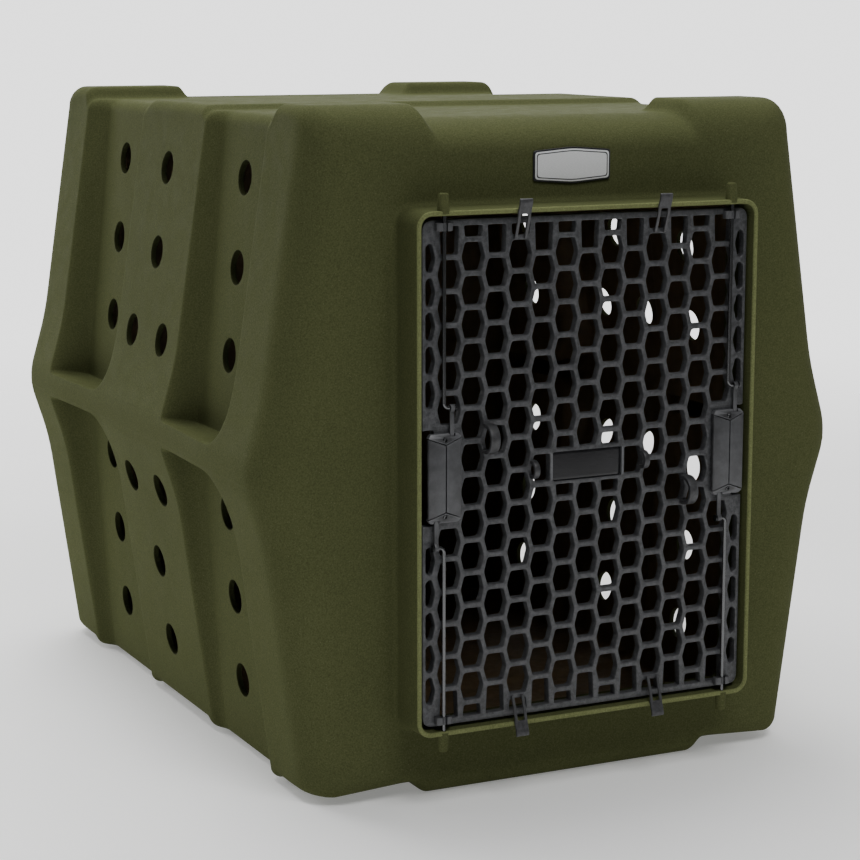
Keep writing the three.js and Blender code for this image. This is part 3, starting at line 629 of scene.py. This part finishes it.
def ring(depth, side, top, bottom, top_round, bottom_round, stops, lean=lambda z: 0 * z):
    """A closed section of the body at one depth, right side first."""
    low_z = float(bottom(side(bottom_round) - bottom_round)) + bottom_round
    high_z = float(top(side(BODY_HEIGHT - top_round) - top_round)) - top_round
    low_x = float(side(low_z)) - bottom_round
    high_x = float(side(high_z)) - top_round
    angles = np.radians(np.linspace(0, 90, ARC_STEPS + 1))
    under = [(x, float(bottom(x))) for x in stops[::-1]]
    low_arc = [(low_x + bottom_round * math.sin(a), low_z - bottom_round * math.cos(a)) for a in angles[:-1]]
    lower = low_z + (BELT_HEIGHT - low_z) * BELT_SHARES
    upper = high_z + (BELT_HEIGHT - high_z) * BELT_SHARES[::-1]
    heights = np.concatenate([lower, upper[1:]])
    wall = list(zip(side(heights) + 0 * heights, heights - lean(heights)))
    high_arc = [(high_x + top_round * math.cos(a), high_z + top_round * math.sin(a)) for a in angles[1:]]
    over = [(x, float(top(x))) for x in stops]
    right = under + low_arc + wall + high_arc + over
    left = [(-x, z) for x, z in reversed(right)]
    outline = [(0, float(bottom(0)))] + right + [(0, float(top(0)))] + left
    return np.array([(x, depth, z) for x, z in outline])


def body_ring(depth, inset):
    near = max(0.0, 1 - (nearest_end(depth) - inset) / TOP_SETBACK)
    return ring(
        depth,
        lambda z: half_width(depth, np.asarray(z, float), inset),
        lambda x: top_level(depth, np.asarray(x, float), inset),
        lambda x: bottom_level(depth, np.asarray(x, float), inset),
        TOP_EDGE_ROUND - inset + TOP_END_ROUND * near,
        BOTTOM_EDGE_ROUND - inset * 0.8 + BOTTOM_END_ROUND * near,
        TOP_STOPS,
        lambda z: shelf_lean(depth, z, inset),
    )


def collar_ring(depth, grow):
    def flat(value):
        return lambda _: np.asarray(value, float)

    return ring(depth, flat(COLLAR_HALF + grow), flat(COLLAR_HIGH + grow), flat(COLLAR_LOW - grow),
                COLLAR_CORNER + grow, COLLAR_CORNER + grow, COLLAR_STOPS)


def body_stations(inset):
    """Depths of the sections, closer together where the surface turns."""
    steps = 12 if inset == 0 else 6
    turn = np.radians(np.linspace(0, 90, steps + 1))
    corner = inset + (SIDE_ROUND - inset) * (1 - np.cos(turn))
    edge, mid = BAND_EDGE - inset, MID_EDGE + inset
    fine = 11 if inset == 0 else 7
    half = np.concatenate([
        corner, [54, 61, TOP_SETBACK, 84],
        np.linspace(edge - 17, edge - 1.5, fine), np.linspace(edge, edge + 30, fine * 2),
        np.linspace(edge + 33, edge + 80, fine + 3), np.linspace(edge + 90, mid - 84, 3),
        np.linspace(mid - 77, mid - 33, fine), np.linspace(mid - 30, mid, fine * 2),
        np.linspace(mid + 2, mid + 22, fine), np.linspace(mid + 34, BODY_LENGTH / 2 - 12, 4)])
    half = np.unique(np.round(half, 3))
    return np.concatenate([half, [BODY_LENGTH / 2], (BODY_LENGTH - half)[::-1]])


def between(a, b, shares):
    return [a + (b - a) * share for share in shares]


def collar_loops():
    """Rings from the flat front wall out over the collar's lip and in to the cabin."""
    loops = []
    for a in np.radians(np.linspace(0, 90, 6)):
        grow = 1 + COLLAR_FILLET * (1 - math.sin(a))
        loops.append(collar_ring(-COLLAR_FILLET * (1 - math.cos(a)), grow))
    loops.append(collar_ring(-COLLAR_REACH * 0.6, 0.5))
    lip = [(-COLLAR_REACH + LIP_ROUND * (1 - math.sin(a)), LIP_ROUND * (1 - math.cos(a)))
           for a in np.radians(np.linspace(0, 90, 5))]
    loops += [collar_ring(depth, -shrink) for depth, shrink in lip]
    loops += [collar_ring(depth, shrink - LIP_THICK) for depth, shrink in lip[::-1]]
    inner = -COLLAR_THICK
    loops.append(collar_ring(-30, inner))
    for a in np.radians(np.linspace(0, 90, 4)):
        depth = WALL - MOUTH_ROUND + MOUTH_ROUND * math.sin(a)
        loops.append(collar_ring(depth, inner + MOUTH_ROUND * (1 - math.cos(a))))
    return loops


def vent_places():
    """(height, depth) of every vent on one side."""
    for z in CHANNEL_VENT_ROWS:
        yield z, CHANNEL_VENT_DEPTH
        yield z, BODY_LENGTH - CHANNEL_VENT_DEPTH
        for shift in ((-PAIR_HALF, PAIR_HALF) if z in PAIR_ROWS else (0,)):
            yield z, BODY_LENGTH / 2 + shift


def vent_cutters():
    """One mesh of all the vents, each a shaded round hole that flares to the outer skin."""
    profile = [(VENT_RADIUS, -34)] + [
        (VENT_RADIUS + VENT_FLARE * (1 - math.cos(math.radians(a))),
         VENT_FLARE * (math.sin(math.radians(a)) - 1)) for a in (0, 25, 50, 70, 90)]
    profile.append((VENT_RADIUS + VENT_FLARE, 14))
    pieces = []
    reach = 12.0
    for z, depth in vent_places():
        wide = half_width(depth, np.array([z - reach, z + reach]), 0)
        lean = math.atan2(wide[0] - wide[1], 2 * reach)
        for side in (-1, 1):
            cutter = turned("vent", profile, (0, 0, 0), "x", 40)
            cutter.data.transform(Matrix.Translation(Vector((0, -FRONT_WALL_Y * MM, 0))))
            if side < 0:
                cutter.data.transform(Matrix.Rotation(math.pi, 4, "Z"))
            cutter.data.transform(Matrix.Rotation(-side * lean, 4, "Y"))
            skin = float(half_width(depth, np.array([float(z)]), 0)[0])
            cutter.data.transform(Matrix.Translation(at(side * skin, depth, z)))
            pieces.append(cutter)
    cutters = join("vents", pieces)
    cutters.data.materials.append(VENT_MATERIAL)
    return cutters


def rod_sockets():
    """The collar's four tapered bosses and the blind holes that the rods enter."""
    bosses, holes = [], []
    for right, _ in SIDES:
        for up, _ in LEVELS:
            edge = COLLAR_HIGH if up > 0 else COLLAR_LOW
            profile = [(BOSS_RADIUS + 0.8, -3), (BOSS_RADIUS, 0.5),
                       (BOSS_TIP_RADIUS + 0.4, BOSS_HEIGHT - 1.6), (BOSS_TIP_RADIUS, BOSS_HEIGHT - 0.7),
                       (BOSS_TIP_RADIUS - 1.2, BOSS_HEIGHT)]
            profile = [(r, up * h) for r, h in profile]
            bosses.append(turned("boss", profile, (right * LATCH_X, ROD_DEPTH + 1.6, edge), "z", 28))
            hole = [(SOCKET_RADIUS, up * rise) for rise in (SOCKET_START, SOCKET_END)]
            holes.append(turned("socket", hole, (right * LATCH_X, ROD_DEPTH, DOOR_MIDDLE), "z", 24))
    return join("bosses", bosses), join("sockets", holes)


def make_shell():
    outer = [body_ring(depth, 0) for depth in body_stations(0)[::-1]]
    rear = outer[0]
    loops = between(rear.mean(0), rear, (0.3, 0.7, 0.97)) + outer
    collar = collar_loops()
    loops += between(outer[-1], collar[0], (0.06, 0.5, 0.94))
    # The faces that round the collar's lip take the lightened olive, a painted highlight.
    lip = range((len(loops) + LIP_LOOPS[0]) * len(rear), (len(loops) + LIP_LOOPS[1]) * len(rear))
    loops += collar
    inner = [body_ring(depth, WALL) for depth in body_stations(WALL)]
    loops += between(collar[-1], inner[0], (0.1, 0.9)) + inner
    back = inner[-1]
    loops += between(back, back.mean(0), (0.05, 0.6))
    shell = loft("carrier_body", loops)
    for material in (MATERIALS["body"], INSIDE_MATERIAL, LIP_HIGHLIGHT_MATERIAL, VENT_MATERIAL):
        shell.data.materials.append(material)
    # The last quads line the cabin, and so does every second face of the two mixed end fans.
    cabin = (len(loops) - len(inner) - 3) * len(rear)
    fans = len(shell.data.polygons) - 2 * len(rear)
    for face in shell.data.polygons:
        if cabin <= face.index < fans or (face.index >= fans and (face.index - fans) % 2):
            face.material_index = 1
        elif face.index in lip:
            face.material_index = 2
    weld(shell)
    bosses, sockets = rod_sockets()
    shell = cut(shell, bosses, "UNION")
    shell = cut(shell, sockets)
    shell = cut(shell, vent_cutters())
    place(shell, "shell", "body", "body_shell", sharp=42)


def make_badge():
    """A blank stretched-hexagon plate: silver face, raised rim, black border."""
    def hexagon(shrink):
        w, end, apex = 44 - shrink, 15 - shrink * 0.9, 18.5 - shrink
        corners = [(-w, -end), (0, -apex), (w, -end), (w, end), (0, apex), (-w, end)]
        return round_corners([(x, BADGE_HEIGHT + z) for x, z in corners], (3, 8, 3, 3, 8, 3))
    border = flat_piece("badge_border", [hexagon(0)], "front", -1.2, 1.7, 0.4)
    place(border, "shell", "badge", "name_badge", material=BORDER_MATERIAL)
    face = flat_piece("badge_face", [hexagon(1.8)], "front", -1.75, 1.5, 0.3)
    place(face, "shell", "badge")
    rim = flat_piece("badge_rim", [hexagon(3.4), hexagon(4.4)[::-1]], "front", -2.35, 0.6, 0.15)
    place(rim, "shell", "badge", material=BORDER_MATERIAL)


# ---- The door ----
def cell_outline(x, up):
    """One cell, cut short by the door's rails and the plate's frame, or None where there is no room."""
    limit = DOOR_HALF_HEIGHT - RAIL
    frame_x, frame_z = PLATE_HALF_WIDTH + PLATE_FRAME, PLATE_HALF_HEIGHT + PLATE_FRAME
    low, high = max(up - CELL_HALF_HEIGHT, -limit), min(up + CELL_HALF_HEIGHT, limit)
    if abs(x) < PLATE_HALF_WIDTH:
        low, high = (max(low, frame_z), high) if up > 0 else (low, min(high, -frame_z))
    if high - low < 6:
        return None
    flat, wide = CELL_HALF_FLAT, CELL_HALF_WIDTH
    cut_top, cut_bottom = high < up + CELL_HALF_HEIGHT, low > up - CELL_HALF_HEIGHT
    low, high, middle = DOOR_MIDDLE + low, DOOR_MIDDLE + high, DOOR_MIDDLE + up
    if cut_top or cut_bottom:
        top, bottom = flat + 1.2 * cut_top, flat + 1.2 * cut_bottom
        corners = [(x - bottom, low), (x + bottom, low), (x + top, high), (x - top, high)]
        return round_corners(corners, 2.2, 3)
    if abs(x) < frame_x + flat and abs(up) < 1:
        side = math.copysign(1, x)
        edge = side * frame_x
        corners = [(edge, low), (x + side * flat, low), (x + side * wide, middle), (x + side * flat, high),
                   (edge, high)]
        return round_corners(corners, (2.2, 2.6, 2.4, 2.6, 2.2), 3)
    corners = [(x - flat, low), (x + flat, low), (x + wide, middle), (x + flat, high), (x - flat, high),
               (x - wide, middle)]
    return round_corners(corners, (2.6, 2.6, 2.4, 2.6, 2.6, 2.4), 3)


def slit_cell(side, up):
    x = side * SLIT_X
    half = CELL_HALF_HEIGHT + 0.3
    z = DOOR_MIDDLE + up
    inner, outer = -side * SLIT_HALF_WIDTH, side * SLIT_HALF_WIDTH
    corners = [(x + outer, z - half * 0.8), (x + outer, z + half * 0.8), (x + outer * 0.2, z + half),
               (x + inner * 0.3, z + half * 0.92), (x + inner, z), (x + inner * 0.3, z - half * 0.92),
               (x + outer * 0.2, z - half)]
    return round_corners(corners, (6, 6, 3.5, 3.5, 3, 3.5, 3.5), 3)


def door_cells():
    """Every opening of the honeycomb, apart from where the latches and rod guides sit."""
    cells = []
    for column in range(-CELL_COLUMNS, CELL_COLUMNS + 1):
        x = column * CELL_PITCH_X
        odd = column % 2 != 0
        for row in range(-CELL_ROWS - 1, CELL_ROWS + 1):
            up = row * CELL_PITCH_Z + (CELL_PITCH_Z / 2 if odd else 0)
            if not odd and abs(row) > CELL_ROWS:
                continue
            outermost = abs(column) == CELL_COLUMNS
            behind_latch = outermost and abs(up) < BASE_HALF_HEIGHT + CELL_HALF_HEIGHT - 3
            under_guide = outermost and abs(up) > DOOR_HALF_HEIGHT - 12
            outline = None if behind_latch or under_guide else cell_outline(x, up)
            if outline:
                cells.append(outline)
    for side in (-1, 1):
        for row in range(-CELL_ROWS, CELL_ROWS):
            up = (row + 0.5) * CELL_PITCH_Z
            if abs(up) > BASE_HALF_HEIGHT + CELL_HALF_HEIGHT + 3:
                cells.append(slit_cell(side, up))
    return cells


def door_outline():
    """The door's rim, with a finger notch beside each latch."""
    w, h, corner = DOOR_HALF_WIDTH, DOOR_HALF_HEIGHT, DOOR_CORNER
    notch_x, notch_z = LATCH_X + 9, BASE_HALF_HEIGHT + 3
    right = [(w, -notch_z), (notch_x, -notch_z), (notch_x, notch_z), (w, notch_z), (w, h)]
    left = [(-x, z) for x, z in right[::-1]] + [(-w, -h)]
    radii = [2, 3, 3, 2, corner, corner, 2, 3, 3, 2, corner, corner]
    return round_corners([(x, DOOR_MIDDLE + z) for x, z in right + left + [(w, -h)]], radii, 6)


def make_door_panel():
    middle = DOOR_FRONT + DOOR_THICK / 2
    panel = flat_piece("honeycomb_door", [door_outline()] + door_cells(), "front", middle, DOOR_THICK, 0.9, 2)
    w, h = PLATE_HALF_WIDTH + PLATE_PLAY, PLATE_HALF_HEIGHT + PLATE_PLAY
    pocket = round_corners(rectangle(0, w, DOOR_MIDDLE - h, DOOR_MIDDLE + h), 2.4, 4)
    cutter = flat_piece("pocket", [pocket], "front", DOOR_FRONT + PLATE_POCKET - 10, 20, 0.3, 1)
    place(cut(panel, cutter), "door", "door", "door_panel")


def make_plate():
    w, h = PLATE_HALF_WIDTH, PLATE_HALF_HEIGHT
    outline = round_corners(rectangle(0, w, DOOR_MIDDLE - h, DOOR_MIDDLE + h), 3, 5)
    plate = flat_piece("gloss_plate", [outline], "front", DOOR_FRONT + PLATE_POCKET - 1.4, 2.2, 0.5)
    place(plate, "door", "plate", "centre_plate")


def half_ring(name, x, up, radius, inner, width, reach):
    """A half ring on straight legs, standing forward from the door by its reach."""
    z, base = DOOR_MIDDLE + up, DOOR_FRONT - GAP
    centre = base - (reach - radius)
    outer = [(base, z - radius)] + arc(centre, z, radius, 270, 90, 28) + [(base, z + radius)]
    inside = [(base, z + inner)] + arc(centre, z, inner, 90, 270, 24) + [(base, z - inner)]
    return flat_piece(name, [outer + inside], "side", x, width, 0.7)


def make_loops():
    for side, label in SIDES:
        loop = half_ring(f"{label}_loop", side * LOOP_X, -side * LOOP_RISE, *LOOP_SHAPE)
        place(loop, "door", "door", f"{label}_leash_loop", material=FITTING_MATERIAL)
        lug = half_ring(f"{label}_lug", side * LUG_X, 0, *LUG_SHAPE)
        place(lug, "door", "door", f"{label}_plate_lug", material=FITTING_MATERIAL)


def make_hook(right, up, name):
    """A forked arm over the collar's lip, with a curled tip."""
    base = DOOR_FRONT - GAP
    over_lip = -COLLAR_REACH - 0.5
    front = [(base, 231), (base - 3.0, 231.6), (-50.3, 252.4), (-51.6, 258), (-54.9, 267), (-54.9, 270.6)]
    back = [(-52.8, 271.4), (-52.4, 267), (-49.8, 260.6), (over_lip, 257.5), (over_lip, 253.5),
            (base - 2.2, 235.6), (base, 235.8)]
    outline = round_corners([(depth, DOOR_MIDDLE + up * rise) for depth, rise in front + back], 1.6, 4)
    x = right * HOOK_X
    hook = flat_piece(name, [outline], "side", x, HOOK_WIDTH, 0.5)
    low, high = sorted(DOOR_MIDDLE + up * rise for rise in HOOK_SLOT_ENDS)
    slot = round_corners(rectangle(x, HOOK_SLOT / 2, low, high), 2.2, 5)
    cutter = flat_piece("slot", [slot], "front", -48, 24, 0.3, 1)
    place(cut(hook, cutter), "door", "door", name, material=FITTING_MATERIAL)


def make_guide(right, up, name):
    """A clip with a mouth for the rod, open to the front."""
    x, z = right * LATCH_X, DOOR_MIDDLE + up * GUIDE_RISE
    base = DOOR_FRONT - GAP
    seat = arc(x, ROD_DEPTH, 2.5, 180, 0, 10)
    half = GUIDE_HALF_WIDTH
    near = [(x - half, base), (x - half, -45.8), (x - half + 1.8, GUIDE_FRONT), (x - 2.6, GUIDE_FRONT)]
    far = [(2 * x - u, depth) for u, depth in near[::-1]]
    seat = [(u, 2 * ROD_DEPTH - v) for u, v in seat]
    clip = flat_piece(name, [near + seat + far], "floor", z, GUIDE_HEIGHT, 0.6)
    place(clip, "door", "door", name, material=FITTING_MATERIAL)


# ---- Rods and latches ----
def make_rod(right, up, body, name):
    x = right * LATCH_X
    tip, foot = DOOR_MIDDLE + up * ROD_TIP, DOOR_MIDDLE + up * ROD_LEG
    bend = [(x + up * ROD_BEND * (1 - math.cos(a)), ROD_DEPTH, foot + up * ROD_BEND * (1 - math.sin(a)))
            for a in np.radians(np.linspace(0, 90, 9))]
    end = x + up * LEG_REACH
    points = [(x, ROD_DEPTH, tip), (x, ROD_DEPTH, tip - up * 1.2)] + bend + [(end, ROD_DEPTH, foot)]
    rod = tube(f"{name}_wire", points, ROD_RADIUS, 5)
    place(rod, body, "steel", f"{name}_rod", sharp=50)
    inner = ROD_RADIUS + 0.1
    profile = [(inner, -0.5), (3.1, -0.5), (3.6, -0.2), (3.6, 0.2), (3.1, 0.5), (inner, 0.5), (inner, -0.5)]
    push_ring = turned(f"{name}_push_ring", profile, (end - up * 0.7, ROD_DEPTH, foot), "x", 28)
    place(push_ring, body, "steel", f"{name}_retaining_ring")


def make_drawbar(right, up, body, name):
    """A flat bar with a rounded eye, seen above the latch block."""
    bx = right * LATCH_X + up * BAR_OFFSET
    z0, z1 = DOOR_MIDDLE + up * BAR_INNER, DOOR_MIDDLE + up * ROD_LEG
    half = BAR_THICK / 2
    start = 0 if up > 0 else 180
    eye = arc(ROD_DEPTH, z1, 3.6, -30 + start, 210 + start, 24)
    neck = z1 - up * BAR_NECK
    stem = [(ROD_DEPTH - up * half, neck), (ROD_DEPTH - up * half, z0), (ROD_DEPTH + up * half, z0),
            (ROD_DEPTH + up * half, neck)]
    outline = stem + eye
    hole = arc(ROD_DEPTH, z1, 2.25, 0, 345, 23)[::-1]
    bar = flat_piece(f"{name}_bar", [outline, hole], "side", bx, BAR_WIDTH, 0.35)
    place(bar, body, "latch", f"{name}_drawbar")


def make_spring(right, up, body, name):
    bx = right * LATCH_X + up * BAR_OFFSET
    start, span = up * (BAR_INNER - SPRING_LENGTH + 0.6), up * (SPRING_LENGTH - 1.4)
    steps = SPRING_TURNS * 18
    radius = SPRING_RADIUS - SPRING_WIRE
    points = []
    for i in range(steps + 1):
        t = i / steps
        rise = span * ease((t - 0.06) / 0.88) * 0.35 + span * t * 0.65
        a = 2 * math.pi * SPRING_TURNS * t
        points.append((bx + radius * math.cos(a), ROD_DEPTH + radius * math.sin(a),
                       DOOR_MIDDLE + start + float(rise)))
    spring = tube(f"{name}_coil", points, SPRING_WIRE, 2)
    place(spring, body, "spring", f"{name}_latch_spring", sharp=60)
    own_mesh(spring)


def make_screw(right, up, name):
    x, z = right * LATCH_X, DOOR_MIDDLE + up * SCREW_RISE
    foot = DOOR_FRONT - GAP
    profile = [(0.01, -46.9), (1.15, -46.9), (1.2, -48.3), (1.5, -48.75), (2.0, -48.75),
               (SCREW_RADIUS, -48.3), (SCREW_RADIUS, -46.6), (1.6, -46.4), (1.6, foot), (0.01, foot)]
    place(turned(name, profile, (x, 0, z), "y", 24), "door", "steel", name)


def hull(name, points, bevel, segments=3):
    """The convex body round points (x, depth, z), with its edges rounded."""
    work = bmesh.new()
    for point in points:
        work.verts.new(at(*point))
    result = bmesh.ops.convex_hull(work, input=work.verts)
    loose = [v for v in result["geom_interior"] if isinstance(v, bmesh.types.BMVert)]
    bmesh.ops.delete(work, geom=loose, context="VERTS")
    bmesh.ops.dissolve_limit(work, angle_limit=math.radians(1), verts=work.verts, edges=work.edges)
    mesh = bpy.data.meshes.new(name)
    work.to_mesh(mesh)
    work.free()
    obj = new_object(name, mesh)
    return bevelled(obj, bevel, segments, 12) if bevel else obj


def make_latch_base(side, label):
    """The block under the grips: a flat plate with a wedge-faced end at each screw.

    At each end a trough lets its drawbar and spring slide, and a bore takes the screw.
    """
    x, back = side * LATCH_X, DOOR_FRONT - GAP
    z, w, h = DOOR_MIDDLE, BASE_HALF_WIDTH, BASE_HALF_HEIGHT
    wide = w + 3
    base = hull(f"{label}_block", [(x + right * w, depth, z + up * (h - 1)) for right in (-1, 1)
                                  for up in (-1, 1) for depth in (back, back - 3)], 0.4)
    for up in (-1, 1):
        front = [(x - wide, -47.0, z + up * 40.6), (x, -49.2, z + up * 34.2),
                 (x + wide, -47.0, z + up * 40.6), (x + w, -45.2, z + up * h), (x - w, -45.2, z + up * h)]
        rear = [(px, back, pz) for px, _, pz in front]
        end = hull("end", front + rear, 0.5, 2)
        base = cut(base, end, "UNION")
        bx = x + up * BAR_OFFSET
        low, high = sorted((z - up * (SPRING_LENGTH - BAR_INNER + 0.6), z + up * (h + 2)))
        trough = round_corners(rectangle(bx, TROUGH_HALF, low, high), 0.8, 2)
        bottom = back - TROUGH_SINK
        base = cut(base, flat_piece("trough", [trough], "front", (TROUGH_FRONT + bottom) / 2,
                                    bottom - TROUGH_FRONT, 0.2, 1))
        bore = [(SCREW_RADIUS + SCREW_CLEARANCE, depth) for depth in (-52, back - 1)]
        base = cut(base, turned("bore", bore, (x, 0, z + up * SCREW_RISE), "y", 24))
    place(base, "door", "latch", f"{label}_latch_base")


def make_grip(latch_side, side, body, node):
    """One wing of the latch: a wedge that slopes from the ridge, hollow beneath, with mitred ends.

    Its end walls are cut back so that they clear the block and the drawbars when it is squeezed.
    """
    x, z = latch_side * LATCH_X, DOOR_MIDDLE
    wide = GRIP_HALF_WIDTH

    def lateral(u):
        return x + side * u

    points = []
    for up in (-1, 1):
        points += [(lateral(GRIP_SLOT), -49.8, z + up * 33.2), (lateral(wide - 1.4), -47.8, z + up * 39.2),
                   (lateral(wide), -46.4, z + up * 39.6), (lateral(wide), -43.1, z + up * 39.6),
                   (lateral(GRIP_SLOT), -46.9, z + up * 33.2)]
    wing = hull(node, points, 0.55, 3)
    cavity = []
    for up in (-1, 1):
        cavity += [(lateral(2.4), -47.9, z + up * 31.5), (lateral(16.4), -46.1, z + up * 36.5),
                   (lateral(16.4), -41, z + up * 36.5), (lateral(-1.5), -41, z + up * 31.5),
                   (lateral(-1.5), -47.6, z + up * 31.5)]
    wing = cut(wing, hull("cavity", cavity, 0))
    for inner, outer, top in ((-1.5, 16.4, -45.3), (5, 12, -46.9)):
        clearance = [(lateral(u), depth, z + rise) for u in (inner, outer) for depth in (top, -41)
                     for rise in (-45, 45)]
        wing = cut(wing, hull("clearance", clearance, 0))
    place(wing, body, "latch", node)


def make_latches():
    for side, label in SIDES:
        make_latch_base(side, label)
        make_grip(side, side, f"{label}_outer_grip", f"{label}_latch_outer_grip")
        make_grip(side, -side, f"{label}_inner_grip", f"{label}_latch_inner_grip")
        for up, level in LEVELS:
            name = f"{label}_{level}"
            body = f"{name}_rod"
            make_rod(side, up, body, name)
            make_drawbar(side, up, body, name)
            make_spring(side, up, "door", name)
            make_screw(side, up, f"{name}_latch_screw")
            make_hook(side, up, f"{name}_hook")
            make_guide(side, up, f"{name}_rod_guide")


# ---- Studio ----
def make_floor():
    """A pale floor that fades into the studio's backdrop away from the carrier."""
    mesh = bpy.data.meshes.new("studio_floor")
    corners = rectangle(0, FLOOR_REACH, -FLOOR_REACH, FLOOR_REACH)
    mesh.from_pydata([(x, y, 0) for x, y in corners], [], [(0, 1, 2, 3)])
    floor = new_object("studio_floor", mesh)
    material, tree, shader = new_material("studio_paper", (0.90, 0.90, 0.895), 0.9)
    tone = ramp(tree, noise(tree, 3, 2), ((0.3, (0.89, 0.89, 0.885)), (0.7, (0.92, 0.92, 0.915))))
    tree.links.new(tone, shader.inputs["Base Color"])
    shader.inputs["Emission Color"].default_value = (1, 1, 1, 1)
    shader.inputs["Emission Strength"].default_value = 0.22
    distance = tree.nodes.new("ShaderNodeVectorMath")
    distance.operation = "LENGTH"
    coordinates = tree.nodes.new("ShaderNodeTexCoord")
    tree.links.new(coordinates.outputs["Object"], distance.inputs[0])
    fade = tree.nodes.new("ShaderNodeMapRange")
    fade.interpolation_type = "SMOOTHSTEP"
    for key, value in (("From Min", FADE_START), ("From Max", FADE_END), ("To Min", 1.0), ("To Max", 0.0)):
        fade.inputs[key].default_value = value
    tree.links.new(distance.outputs["Value"], fade.inputs["Value"])
    tree.links.new(fade.outputs["Result"], shader.inputs["Alpha"])
    mesh.materials.append(material)


def add_light(name, place_at, aim, size, watts):
    """A rectangular lamp; places and sizes are in metres."""
    data = bpy.data.lights.new(name, "AREA")
    data.shape = "RECTANGLE"
    data.size, data.size_y = size
    data.energy = watts
    light = new_object(name, data)
    light.location = place_at
    light.rotation_euler = (Vector(aim) - Vector(place_at)).to_track_quat("-Z", "Y").to_euler()


def make_world():
    """A studio that is bright behind and to the left of the carrier, and dim in front of it."""
    world = bpy.data.worlds.new("studio")
    bpy.context.scene.world = world
    world.use_nodes = True
    tree = world.node_tree
    coordinates = tree.nodes.new("ShaderNodeTexCoord")
    facing = tree.nodes.new("ShaderNodeVectorMath")
    facing.operation = "DOT_PRODUCT"
    facing.inputs[1].default_value = (0.25, 0.433, 0.0)
    tree.links.new(coordinates.outputs["Generated"], facing.inputs[0])
    shift = tree.nodes.new("ShaderNodeMath")
    shift.operation = "ADD"
    shift.inputs[1].default_value = 0.5
    tree.links.new(facing.outputs["Value"], shift.inputs[0])
    glow = ramp(tree, shift.outputs["Value"], ((0.25, 0.05), (0.70, 0.09), (0.95, 1.0)))
    tree.links.new(glow, tree.nodes["Background"].inputs["Color"])
    tree.nodes["Background"].inputs["Strength"].default_value = 2.2


def make_lights():
    add_light("key", (-0.1, -2.1, 2.9), (0, -0.4, 0.45), (1.4, 1.4), 46)
    add_light("left", (-1.9, 3.2, 1.0), (-0.3, 0.1, 0.3), (1.6, 1.6), 68)
    add_light("top", (-0.2, 1.1, 3.4), (0, 0.2, 0), (2.6, 2.6), 125)


def make_camera():
    """The viewpoint, from the front wall's foot, aimed by degrees of tilt down and turn to the right."""
    data = bpy.data.cameras.new("view")
    data.sensor_width = 36
    data.lens = VIEW_LENS
    data.clip_end = 100
    camera = new_object("view", data)
    camera.location = at(*VIEW_POINT)
    camera.rotation_euler = Euler((math.radians(90 - VIEW_TILT), 0, math.radians(-VIEW_TURN)))
    bpy.context.scene.camera = camera


make_camera()
make_floor()
make_world()
make_lights()
make_shell()
make_badge()
make_door_panel()
make_plate()
make_loops()
make_latches()
